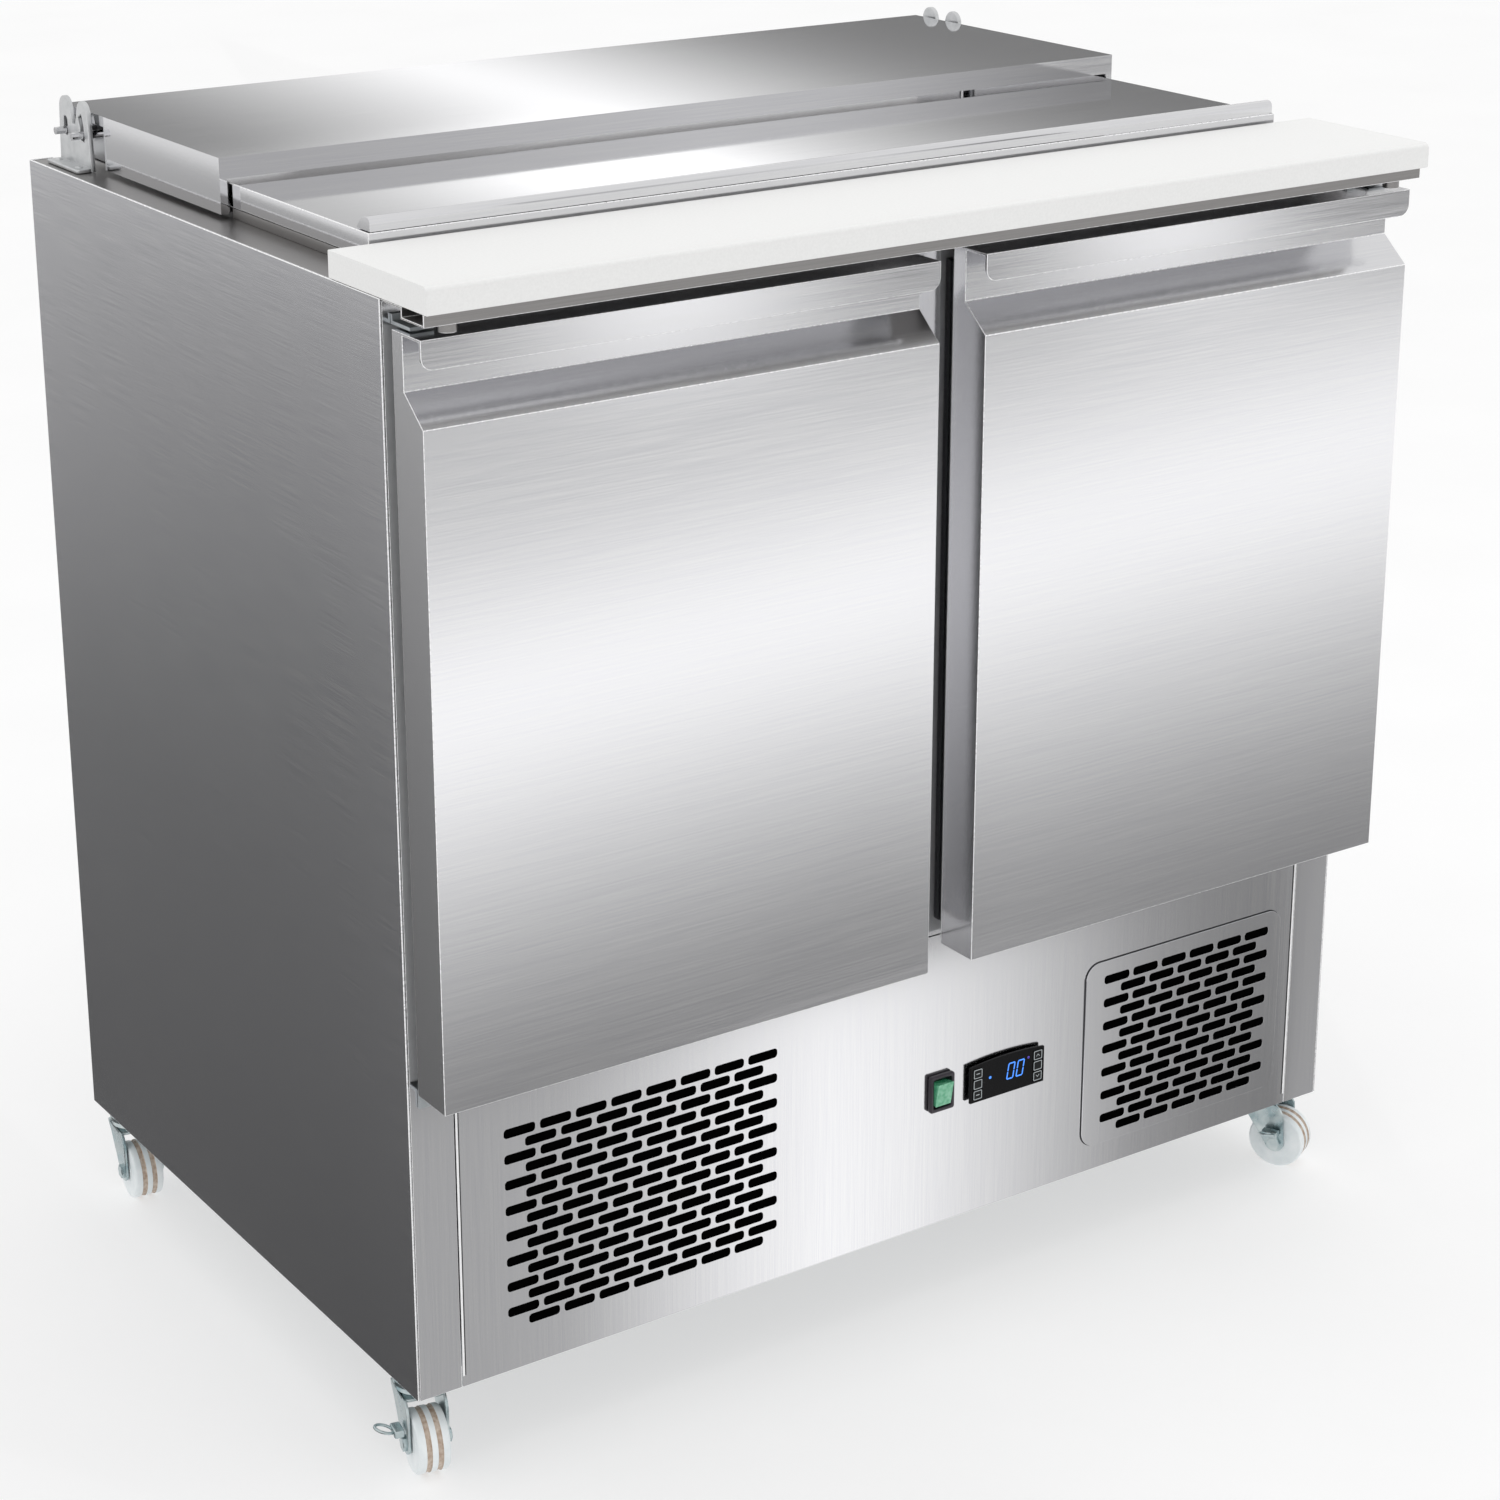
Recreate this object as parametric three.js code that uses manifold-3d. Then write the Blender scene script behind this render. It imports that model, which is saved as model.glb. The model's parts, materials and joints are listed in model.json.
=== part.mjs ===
// Two-door refrigerated sandwich prep table on castors.
// Millimetres, +Z up, front of the counter towards -Y, floor at z = 0.
import * as THREE from 'three';
import { mergeVertices } from 'three/addons/utils/BufferGeometryUtils.js';
import Module from 'manifold-3d';

const wasm = await Module();
wasm.setup();

// ---------- driving sizes ----------
const bodyWidth = 900;
const bodyDepth = 590;
const bodyHeight = 835;
const castorHeight = 75;
const boardOverhang = 65;
const sheet = 1.5;
const gap = 0.4;
const wall = 35;

// ---------- places worked out from them ----------
const halfWidth = bodyWidth / 2;
const frontY = -(bodyDepth + boardOverhang) / 2 + boardOverhang;
const rearY = frontY + bodyDepth;
const baseZ = castorHeight;
const topZ = baseZ + bodyHeight;
const innerHalf = halfWidth - sheet - gap;

// machine compartment in the foot of the cabinet
const machineHeight = 258;
const machineTopZ = baseZ + machineHeight;
const postWidth = 37;
const frameDepth = 25;

// doors
const doorGap = 8;
const doorProud = 50;
const doorOuterX = halfWidth - 3;
const doorInnerX = 21;
const doorBottomZ = baseZ + 255;
const doorTopZ = baseZ + 816;
const gripLedgeZ = baseZ + 755;
const gripWallZ = baseZ + 776;
const gripWallProud = 25;
const gripLipDrop = 21;
const gripLipThickness = 2.5;
const doorLinerThickness = 2.5;
const doorSheet = 1;
const hingeInset = 14;
const hingeProud = 18;

// well for the food pans
const panWidth = 176;
const panLength = 325;
const panDepth = 150;
const panCount = 4;
const panPitch = panWidth + 6;
const wellHalfWidth = (panCount * panPitch + 8) / 2;
const wellFrontY = frontY + 100;
const wellRearY = wellFrontY + panLength - 14;

// cutting board
const boardThickness = 20;
const boardBack = 72;

// stepped lid: hood at the rear, flat lid sliding in under it
const hoodHalf = halfWidth - 26;
const hoodFrontY = frontY + 292;
const hoodRearY = frontY + 575;
const hoodTopZ = topZ + 45;
const hoodFrontDrop = 16;
const hoodFloorZ = topZ + 3;
const lidHalf = hoodHalf - 8;
const lidFrontY = frontY + 77;
const lidRearY = frontY + 322;
const lidTopZ = topZ + 26;
const lidFlange = 18;
const hoodRailZ = lidTopZ - lidFlange - gap;
const bracketRearY = hoodRearY - 4;
const bracketLength = 60;
const notchLength = 76;
const pivotY = bracketRearY - 14;
const pivotZ = topZ + 27;
const pinRadius = 3;
const pinSpacing = 32;

// socket for the mains lead, low on the back
const inletAt = { x: -370, z: baseZ + 55, bodyHalfX: 14, bodyHalfZ: 9, flangeHalfX: 20, flangeHalfZ: 15 };

// castors: stem at the local origin, wheel trailing towards local -Y, brake pedal towards local -X
const wheelRadius = 25;
const wheelHalf = 12.5;
const trail = 18;
const crownZ = castorHeight - 14;
const castors = [
  { name: 'front_left', x: -halfWidth + 22, y: frontY + 42, yaw: -12, braked: true },
  { name: 'front_right', x: halfWidth - 22, y: frontY + 42, yaw: 28, braked: true },
  { name: 'rear_left', x: -halfWidth + 22, y: rearY - 30, yaw: -6, braked: false },
  { name: 'rear_right', x: halfWidth - 22, y: rearY - 30, yaw: 10, braked: false },
];

// ---------- shape helpers ----------
function solid(geometry) {
  const bare = geometry.clone();
  bare.deleteAttribute('normal');
  bare.deleteAttribute('uv');
  const merged = mergeVertices(bare, 1e-4);
  const mesh = new wasm.Mesh({
    numProp: 3,
    vertProperties: new Float32Array(merged.attributes.position.array),
    triVerts: new Uint32Array(merged.index.array),
  });
  return new wasm.Manifold(mesh);
}

function geometryOf(manifold) {
  const mesh = manifold.getMesh();
  const geometry = new THREE.BufferGeometry();
  geometry.setAttribute('position', new THREE.BufferAttribute(new Float32Array(mesh.vertProperties), 3));
  geometry.setIndex(new THREE.BufferAttribute(new Uint32Array(mesh.triVerts), 1));
  const flat = geometry.toNonIndexed();
  flat.computeVertexNormals();
  return flat;
}

function box(x0, x1, y0, y1, z0, z1) {
  const geometry = new THREE.BoxGeometry(x1 - x0, y1 - y0, z1 - z0);
  geometry.translate((x0 + x1) / 2, (y0 + y1) / 2, (z0 + z1) / 2);
  return solid(geometry);
}

function shapeFrom(points) {
  return new THREE.Shape(points.map(([u, v]) => new THREE.Vector2(u, v)));
}

function extrude(shape, length, segments = 4) {
  return new THREE.ExtrudeGeometry(shape, { depth: length, bevelEnabled: false, curveSegments: segments });
}

// outline given as (x, y), raised from z0 to z1
function alongZ(shape, z0, z1, segments) {
  const geometry = extrude(shape, z1 - z0, segments);
  geometry.translate(0, 0, z0);
  return solid(geometry);
}

// outline given as (x, z), running from y0 to y1
function alongY(shape, y0, y1, segments) {
  const geometry = extrude(shape, y1 - y0, segments);
  geometry.rotateX(Math.PI / 2);
  geometry.translate(0, y1, 0);
  return solid(geometry);
}

// outline given as (y, z), running from x0 to x1
function alongX(shape, x0, x1, segments) {
  const geometry = extrude(shape, x1 - x0, segments);
  geometry.rotateZ(Math.PI / 2);
  geometry.rotateY(Math.PI / 2);
  geometry.translate(x0, 0, 0);
  return solid(geometry);
}

function rodX(x0, x1, y, z, radius, segments = 16) {
  const geometry = new THREE.CylinderGeometry(radius, radius, x1 - x0, segments);
  geometry.rotateZ(Math.PI / 2);
  geometry.translate((x0 + x1) / 2, y, z);
  return solid(geometry);
}

function rodY(y0, y1, x, z, radius, segments = 16) {
  const geometry = new THREE.CylinderGeometry(radius, radius, y1 - y0, segments);
  geometry.translate(x, (y0 + y1) / 2, z);
  return solid(geometry);
}

function rodZ(z0, z1, x, y, radius, segments = 16) {
  const geometry = new THREE.CylinderGeometry(radius, radius, z1 - z0, segments);
  geometry.rotateX(Math.PI / 2);
  geometry.translate(x, y, (z0 + z1) / 2);
  return solid(geometry);
}

function lathe(profile, x, y, z, segments = 20) {
  const points = profile.map(([r, h]) => new THREE.Vector2(r, h));
  const geometry = new THREE.LatheGeometry(points, segments);
  geometry.rotateX(Math.PI / 2);
  geometry.translate(x, y, z);
  return solid(geometry);
}

function roundedRect(u0, u1, v0, v1, radius) {
  const shape = new THREE.Shape();
  shape.moveTo(u0 + radius, v0);
  shape.lineTo(u1 - radius, v0);
  shape.absarc(u1 - radius, v0 + radius, radius, -Math.PI / 2, 0, false);
  shape.lineTo(u1, v1 - radius);
  shape.absarc(u1 - radius, v1 - radius, radius, 0, Math.PI / 2, false);
  shape.lineTo(u0 + radius, v1);
  shape.absarc(u0 + radius, v1 - radius, radius, Math.PI / 2, Math.PI, false);
  shape.lineTo(u0, v0 + radius);
  shape.absarc(u0 + radius, v0 + radius, radius, Math.PI, 1.5 * Math.PI, false);
  return shape;
}

function join(...parts) {
  return parts.reduce((whole, part) => whole.add(part));
}

function cut(body, ...tools) {
  return tools.reduce((rest, tool) => rest.subtract(tool), body);
}

function mirrorX(manifold) {
  return manifold.mirror([1, 0, 0]);
}

// ---------- assembly ----------
const table = new THREE.Group();
table.name = 'sandwich_prep_table';

const steel = { color: 0xb4b5b8, roughness: 0.34, metalness: 1.0 };
const darkSteel = { color: 0x8d9093, roughness: 0.42, metalness: 1.0 };
const zinc = { color: 0xc3c6c8, roughness: 0.3, metalness: 1.0 };
const whitePlastic = { color: 0xededeb, roughness: 0.5, metalness: 0.0 };
const blackPlastic = { color: 0x141516, roughness: 0.4, metalness: 0.0 };
const rubber = { color: 0x3a3b3c, roughness: 0.8, metalness: 0.0 };
const foam = { color: 0xe6d9a8, roughness: 0.9, metalness: 0.0 };
const aluminium = { color: 0xccd1d4, roughness: 0.4, metalness: 1.0 };
const nylon = { color: 0xcfd4d6, roughness: 0.45, metalness: 0.0 };
const greenPlastic = { color: 0x3fae7c, roughness: 0.25, metalness: 0.0 };
const blackEnamel = { color: 0x1b1c1e, roughness: 0.35, metalness: 0.2 };

function add(name, manifold, look) {
  const mesh = new THREE.Mesh(geometryOf(manifold), new THREE.MeshStandardMaterial(look));
  mesh.name = name;
  table.add(mesh);
}

function addPair(stem, leftManifold, look) {
  add(`${stem}_left`, leftManifold, look);
  add(`${stem}_right`, mirrorX(leftManifold), look);
}

// ---------- cabinet shell ----------
function sidePanel() {
  const lip = 20;
  const outline = shapeFrom([
    [-halfWidth, frontY], [-halfWidth + sheet, frontY],
    [-halfWidth + sheet, rearY - sheet], [-halfWidth + lip, rearY - sheet],
    [-halfWidth + lip, rearY], [-halfWidth, rearY],
  ]);
  return alongZ(outline, baseZ, topZ);
}

function backPanel() {
  const y1 = rearY - sheet - gap;
  const y0 = y1 - sheet;
  const plate = box(-innerHalf, innerHalf, y0, y1, baseZ, topZ - 3);
  const vents = [];
  const ventRows = 6;
  const ventPitch = 24;
  const ventHeight = 8;
  const ventInner = 80;
  const ventOuter = 300;
  const firstVentZ = baseZ + 60;
  for (let row = 0; row < ventRows; row += 1) {
    const z = firstVentZ + row * ventPitch;
    const vent = box(-ventOuter, -ventInner, y0 - 1, y1 + 1, z, z + ventHeight);
    vents.push(vent, mirrorX(vent));
  }
  const holeHalfX = inletAt.bodyHalfX + 2;
  const holeHalfZ = inletAt.bodyHalfZ + 2;
  const inletHole = box(
    inletAt.x - holeHalfX, inletAt.x + holeHalfX, y0 - 1, y1 + 1, inletAt.z - holeHalfZ, inletAt.z + holeHalfZ,
  );
  return cut(plate, ...vents, inletHole);
}

function basePan() {
  const y0 = frontY + frameDepth + gap;
  const y1 = rearY - 2 * sheet - 2 * gap;
  const thick = 2;
  const rim = 22;
  const tray = box(-innerHalf, innerHalf, y0, y1, baseZ, baseZ + rim);
  const hollow = box(-innerHalf + thick, innerHalf - thick, y0 + thick, y1 - thick, baseZ + thick, baseZ + rim + 1);
  return cut(tray, hollow);
}

const openingBottomZ = machineTopZ + 27;
const openingTopZ = topZ - 50;
const openingOuterX = halfWidth - wall;
const openingInnerX = 44;

// posts, rails and mullion folded from sheet, open at the back
function frontFrame() {
  const y0 = frontY;
  const y1 = frontY + frameDepth;
  const frameTopZ = topZ - sheet - 2 * gap;
  const slab = box(-innerHalf, innerHalf, y0, y1, baseZ, frameTopZ);
  const footHalf = halfWidth - postWidth;
  const foot = box(-footHalf, footHalf, y0 - 1, y1 + 1, baseZ - 1, machineTopZ);
  const doorways = [-1, 1].map((side) => {
    const xs = [side * openingInnerX, side * openingOuterX].sort((a, b) => a - b);
    return box(xs[0], xs[1], y0 - 1, y1 + 1, openingBottomZ, openingTopZ);
  });
  const hollow = (x0, x1, z0, z1) => box(x0 + sheet, x1 - sheet, y0 + sheet, y1 + 1, z0 + sheet, z1 - sheet);
  const post = hollow(-innerHalf, -openingOuterX, baseZ, frameTopZ);
  const hollows = [
    post, mirrorX(post),
    hollow(-innerHalf, innerHalf, openingTopZ, frameTopZ),
    hollow(-innerHalf, innerHalf, machineTopZ, openingBottomZ),
    hollow(-openingInnerX, openingInnerX, machineTopZ, frameTopZ),
  ];
  return cut(slab, foot, ...doorways, ...hollows);
}

const linerHalf = halfWidth - wall;
const linerFloorZ = machineTopZ + 24;
const linerRearY = rearY - wall - 8;
const linerTopZ = topZ - 26;
const innerFrontY = frontY + frameDepth + gap;
const shelfZ = baseZ + 500;
const shelfDepth = 340;
const ledgeHeight = 8;

function innerLiner() {
  const y0 = innerFrontY;
  const thick = 0.8;
  const outside = box(-linerHalf, linerHalf, y0, linerRearY, linerFloorZ, linerTopZ);
  const inside = box(
    -linerHalf + thick, linerHalf - thick, y0 - 1, linerRearY - thick, linerFloorZ + thick, linerTopZ + 1,
  );
  const ledgeWidth = 12;
  const ledgeY = y0 + 20;
  const ledge = box(
    -linerHalf + thick / 2, -linerHalf + ledgeWidth, ledgeY, ledgeY + shelfDepth, shelfZ - ledgeHeight, shelfZ - gap,
  );
  return join(cut(outside, inside), ledge, mirrorX(ledge));
}

function insulation() {
  const y0 = innerFrontY;
  const y1 = rearY - 2 * sheet - 2 * gap;
  const outside = box(-innerHalf, innerHalf, y0, y1, machineTopZ, linerTopZ);
  const inside = box(
    -linerHalf - gap, linerHalf + gap, y0 - 1, linerRearY + gap, linerFloorZ - gap, topZ,
  );
  return cut(outside, inside);
}

// worktop frame: a flat rim round the pan well with edges turned down
function topFrame() {
  const y0 = frontY;
  const y1 = rearY - 2 * sheet - 2 * gap;
  const skirt = 22;
  const wellLip = 2;
  const plate = box(-innerHalf, innerHalf, y0, y1, topZ - sheet - gap, topZ - gap);
  const collar = box(
    -wellHalfWidth - wellLip, wellHalfWidth + wellLip, wellFrontY - wellLip, wellRearY + wellLip,
    topZ - skirt, topZ - sheet,
  );
  const well = box(-wellHalfWidth, wellHalfWidth, wellFrontY, wellRearY, topZ - skirt - 1, topZ + 1);
  return cut(join(plate, collar), well);
}

// ---------- machine compartment front ----------
const slotLength = 27;
const slotHeight = 7.8;
const slotNose = 0.28;
const slotPitchX = 31;
const slotPitchZ = 10.6;
const slotStagger = 0.58;

function slotTool(x, z, y0, y1) {
  const half = slotLength / 2;
  const nose = slotHeight * slotNose;
  const rise = slotHeight / 2;
  return alongY(shapeFrom([
    [x - half + nose, z - rise], [x + half - nose, z - rise], [x + half, z],
    [x + half - nose, z + rise], [x - half + nose, z + rise], [x - half, z],
  ]), y0, y1);
}

// brick-bond slots: rows of `count` and rows of one fewer, set over by part of a pitch
function slotField(centreX, centreZ, count, rows, y0, y1) {
  const left = centreX - ((count - 1) * slotPitchX) / 2;
  const top = centreZ + ((rows - 1) * slotPitchZ) / 2;
  const tools = [];
  for (let row = 0; row < rows; row += 1) {
    const staggered = row % 2 === 1;
    const start = left + (staggered ? slotStagger * slotPitchX : 0);
    const inRow = staggered ? count - 1 : count;
    for (let i = 0; i < inRow; i += 1) {
      tools.push(slotTool(start + i * slotPitchX, top - row * slotPitchZ, y0, y1));
    }
  }
  return wasm.Manifold.union(tools);
}

const leftGrille = { x: -250, z: baseZ + 117.5, count: 8, rows: 16 };
const rightGrille = { x: 291, z: baseZ + 104, count: 6, rows: 14 };
const grillePlate = { x0: 181, x1: 396, z0: baseZ + 23, z1: baseZ + 190, corner: 14 };
const controllerAt = { x: 97, z: baseZ + 118, width: 76, height: 34 };
const switchAt = { x: 31, z: baseZ + 119, width: 24, height: 32 };

function cutoutFor(item, inset, y0, y1) {
  const halfX = item.width / 2 - inset;
  const halfZ = item.height / 2 - inset;
  return box(item.x - halfX, item.x + halfX, y0, y1, item.z - halfZ, item.z + halfZ);
}

// four windows behind the removable grille, with a cross-shaped rib between them
function grilleWindows(y0, y1) {
  const margin = 12;
  const rib = 12;
  const midX = (grillePlate.x0 + grillePlate.x1) / 2;
  const midZ = (grillePlate.z0 + grillePlate.z1) / 2;
  const columns = [[grillePlate.x0 + margin, midX - rib / 2], [midX + rib / 2, grillePlate.x1 - margin]];
  const rows = [[grillePlate.z0 + margin, midZ - rib / 2], [midZ + rib / 2, grillePlate.z1 - margin]];
  return columns.flatMap(([x0, x1]) => rows.map(([z0, z1]) => box(x0, x1, y0, y1, z0, z1)));
}

function lowerPanel() {
  const half = halfWidth - postWidth - 1;
  const y0 = frontY;
  const y1 = frontY + sheet;
  const plate = box(-half, half, y0, y1, baseZ, machineTopZ - 1);
  const slots = slotField(leftGrille.x, leftGrille.z, leftGrille.count, leftGrille.rows, y0 - 1, y1 + 1);
  const controllerHole = cutoutFor(controllerAt, 2.5, y0 - 1, y1 + 1);
  const switchHole = cutoutFor(switchAt, 2.5, y0 - 1, y1 + 1);
  return cut(plate, slots, controllerHole, switchHole, ...grilleWindows(y0 - 1, y1 + 1));
}

function grilleRight() {
  const y1 = frontY - gap;
  const y0 = y1 - sheet;
  const outline = roundedRect(
    grillePlate.x0, grillePlate.x1, grillePlate.z0, grillePlate.z1, grillePlate.corner,
  );
  const slots = slotField(rightGrille.x, rightGrille.z, rightGrille.count, rightGrille.rows, y0 - 1, y1 + 1);
  return cut(alongY(outline, y0, y1), slots);
}

// ---------- controller and switch ----------
const bezelProud = 5;
const keyWidth = 9;
const keyHeight = 8.4;
const keyPitch = 9.4;
const keyProud = 0.8;
const keyDepth = 1.4;
const keyDrop = 0.8;
const keyColumnX = controllerAt.width / 2 - 7;

function controllerBody() {
  const halfX = controllerAt.width / 2;
  const halfZ = controllerAt.height / 2;
  const arch = 2.5;
  const face = new THREE.Shape();
  face.moveTo(controllerAt.x - halfX, controllerAt.z - halfZ);
  face.lineTo(controllerAt.x + halfX, controllerAt.z - halfZ);
  face.lineTo(controllerAt.x + halfX, controllerAt.z + halfZ - arch);
  face.quadraticCurveTo(
    controllerAt.x, controllerAt.z + halfZ + arch, controllerAt.x - halfX, controllerAt.z + halfZ - arch,
  );
  const bezel = alongY(face, frontY - bezelProud, frontY - gap, 8);
  const caseInset = 3;
  const caseDepth = 55;
  const rear = cutoutFor(controllerAt, caseInset, frontY - bezelProud + 1, frontY + caseDepth);
  const halfKeyX = keyWidth / 2 + gap;
  const halfKeyZ = keyHeight / 2 + gap;
  const pocketBackY = frontY - bezelProud + keyDepth + 1;
  const pockets = keyPlaces().map(({ x, z }) => (
    box(x - halfKeyX, x + halfKeyX, frontY - bezelProud - 1, pocketBackY, z - halfKeyZ, z + halfKeyZ)
  ));
  return cut(join(bezel, rear), ...pockets);
}

function keyPlaces() {
  const places = [];
  for (const side of [-1, 1]) {
    for (let i = 0; i < 3; i += 1) {
      places.push({ x: controllerAt.x + side * keyColumnX, z: controllerAt.z + (1 - i) * keyPitch - keyDrop });
    }
  }
  return places;
}

function controllerKey({ x, z }) {
  return box(
    x - keyWidth / 2, x + keyWidth / 2, frontY - bezelProud - keyProud, frontY - bezelProud + keyDepth,
    z - keyHeight / 2, z + keyHeight / 2,
  );
}

const switchRim = 5;

function switchBezel() {
  const bodyInset = 3;
  const switchDepth = 24;
  const windowDepth = 10;
  const outer = cutoutFor(switchAt, 0, frontY - bezelProud, frontY - gap);
  const rear = cutoutFor(switchAt, bodyInset, frontY - bezelProud + 1, frontY + switchDepth);
  const window = cutoutFor(switchAt, switchRim, frontY - bezelProud - 1, frontY + windowDepth);
  return cut(join(outer, rear), window);
}

// rocker cap: a flat wedge with its pivot low inside the bezel
function rocker() {
  const endPlay = 1.8;
  const sidePlay = 0.5;
  const halfZ = switchAt.height / 2 - switchRim - endPlay;
  const halfX = switchAt.width / 2 - switchRim - sidePlay;
  const y = frontY - bezelProud;
  const backY = y + 7;
  const backTaper = 2.5;
  const proud = { foot: 0.5, middle: 2.5, head: 4.5 };
  return alongX(shapeFrom([
    [backY, switchAt.z - halfZ + backTaper], [y - proud.foot, switchAt.z - halfZ],
    [y - proud.middle, switchAt.z], [y - proud.head, switchAt.z + halfZ],
    [backY, switchAt.z + halfZ - backTaper],
  ]), switchAt.x - halfX, switchAt.x + halfX);
}

// ---------- doors ----------
// door cross-section (y, z) set in from its outer surface by `inset`, up to the plane y = back
function doorSection(inset, back) {
  const front = frontY - doorProud + inset;
  const gripY = frontY - gripWallProud + inset;
  const slope = (gripWallZ - gripLedgeZ) / (doorProud - gripWallProud);
  const drop = inset * (Math.hypot(1, slope) - slope);
  return shapeFrom([
    [back, doorBottomZ + inset], [back, doorTopZ - inset], [gripY, doorTopZ - inset],
    [gripY, gripWallZ - drop], [front, gripLedgeZ - drop], [front, doorBottomZ + inset],
  ]);
}

const doorSkinBackY = frontY - doorGap - doorLinerThickness - gap;
const hingePinX = -doorOuterX + hingeInset;
const hingePinY = frontY - hingeProud;
const hingePinRadius = 4;
const hingePinLength = 18;

function hingePinHoles() {
  const radius = hingePinRadius + 1.2;
  const depth = hingePinLength + 4;
  return [
    rodZ(doorBottomZ - 1, doorBottomZ + depth, hingePinX, hingePinY, radius),
    rodZ(doorTopZ - depth, doorTopZ + 1, hingePinX, hingePinY, radius),
  ];
}

// folded sheet open at the back, with the grip recess and its lip along the top
function doorSkin() {
  const front = frontY - doorProud;
  const lipInnerY = front + gripLipThickness;
  const shell = cut(
    alongX(doorSection(0, doorSkinBackY), -doorOuterX, -doorInnerX),
    alongX(doorSection(doorSheet, doorSkinBackY + 1), -doorOuterX + doorSheet, -doorInnerX - doorSheet),
  );
  const lipCorner = 9;
  const lip = alongY(
    roundedRect(-doorOuterX, -doorInnerX, doorTopZ - gripLipDrop, doorTopZ, lipCorner), front, lipInnerY, 4,
  );
  const lipTop = box(-doorOuterX, -doorInnerX, front, lipInnerY, doorTopZ - lipCorner, doorTopZ);
  const flangeThickness = 2;
  const flange = box(
    -doorOuterX, -doorInnerX, front, frontY - gripWallProud + doorSheet / 2, doorTopZ - flangeThickness, doorTopZ,
  );
  return cut(join(shell, lip, lipTop, flange), ...hingePinHoles());
}

const doorRim = 14;

// inner door panel with the foam core that fills the skin bonded to it
function doorLiner() {
  const y0 = frontY - doorGap - doorLinerThickness;
  const y1 = frontY - doorGap;
  const inset = doorSheet + gap;
  const panel = box(-doorOuterX + 2, -doorInnerX - 2, y0, y1, doorBottomZ + 2, doorTopZ - 2);
  const core = alongX(doorSection(inset, y0 + 1), -doorOuterX + inset, -doorInnerX - inset);
  return cut(join(panel, core), ...hingePinHoles());
}

function gasket() {
  const y0 = frontY - doorGap + gap;
  const y1 = frontY - gap;
  const width = 15;
  const x0 = -doorOuterX + doorRim;
  const x1 = -doorInnerX - 6;
  const z0 = doorBottomZ + doorRim;
  const z1 = doorTopZ - doorRim;
  const outer = box(x0, x1, y0, y1, z0, z1);
  const inner = box(x0 + width, x1 - width, y0 - 1, y1 + 1, z0 + width, z1 - width);
  return cut(outer, inner);
}

// bracket screwed to the frame, carrying the pin a door turns on
function hingeBracket(upper) {
  const plateGap = 1;
  const thick = 2.5;
  const half = 9;
  const upperHeel = 7;
  const lowerHeel = 12;
  const z0 = upper ? doorTopZ + plateGap : doorBottomZ - plateGap - thick;
  const plateBetween = (y0, low, high) => box(hingePinX - half, hingePinX + half, y0, frontY - gap, low, high);
  const arm = plateBetween(hingePinY - half, z0, z0 + thick);
  const heel = upper
    ? plateBetween(frontY - gap - thick, z0, z0 + upperHeel)
    : plateBetween(frontY - gap - thick, z0 - lowerHeel, z0 + thick);
  const pin = upper
    ? rodZ(doorTopZ - hingePinLength, z0 + thick, hingePinX, hingePinY, hingePinRadius, 12)
    : rodZ(z0, doorBottomZ + hingePinLength, hingePinX, hingePinY, hingePinRadius, 12);
  return join(arm, heel, pin);
}

// ---------- inside the cabinet ----------
const shelfInner = 14;
const shelfFrontY = frontY + frameDepth + 22;

function shelf() {
  const x0 = -linerHalf + 4;
  const x1 = -shelfInner;
  const y0 = shelfFrontY;
  const y1 = y0 + shelfDepth;
  const wire = 4;
  const rim = [
    box(x0, x1, y0, y0 + wire, shelfZ, shelfZ + wire),
    box(x0, x1, y1 - wire, y1, shelfZ, shelfZ + wire),
    box(x0, x0 + wire, y0, y1, shelfZ, shelfZ + wire),
    box(x1 - wire, x1, y0, y1, shelfZ, shelfZ + wire),
  ];
  const wires = [];
  const wireCount = 13;
  for (let i = 1; i <= wireCount; i += 1) {
    const x = x0 + ((x1 - x0) * i) / (wireCount + 1);
    wires.push(box(x - wire / 2, x + wire / 2, y0, y1, shelfZ, shelfZ + wire));
  }
  return wasm.Manifold.union([...rim, ...wires]);
}

function shelfRail() {
  const y0 = shelfFrontY;
  const y1 = y0 + shelfDepth;
  const half = 24;
  const legHalf = 4;
  const legDepth = 16;
  const legFootZ = linerFloorZ + sheet + gap;
  const legTopZ = shelfZ - ledgeHeight + 2;
  const bar = box(-half, half, y0, y1, shelfZ - ledgeHeight, shelfZ - gap);
  const frontLeg = box(-legHalf, legHalf, y0, y0 + legDepth, legFootZ, legTopZ);
  const rearLeg = box(-legHalf, legHalf, y1 - legDepth, y1, legFootZ, legTopZ);
  return join(bar, frontLeg, rearLeg);
}

function foodPan(index) {
  const centre = (index - (panCount - 1) / 2) * panPitch;
  const x0 = centre - panWidth / 2;
  const x1 = centre + panWidth / 2;
  const y0 = wellFrontY - 7;
  const y1 = y0 + panLength;
  const thick = 1;
  const draft = 9;
  const flangeZ = topZ + gap;
  const rim = 14;
  const flange = box(x0 + 0.5, x1 - 0.5, y0, y1, flangeZ, flangeZ + thick);
  const bowl = frustum(x0 + rim, x1 - rim, y0 + rim, y1 - rim, flangeZ + thick, panDepth, draft);
  const hollow = frustum(
    x0 + rim + thick, x1 - rim - thick, y0 + rim + thick, y1 - rim - thick,
    flangeZ + thick + 0.01, panDepth - thick, draft,
  );
  return cut(join(flange, bowl), hollow);
}

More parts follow.
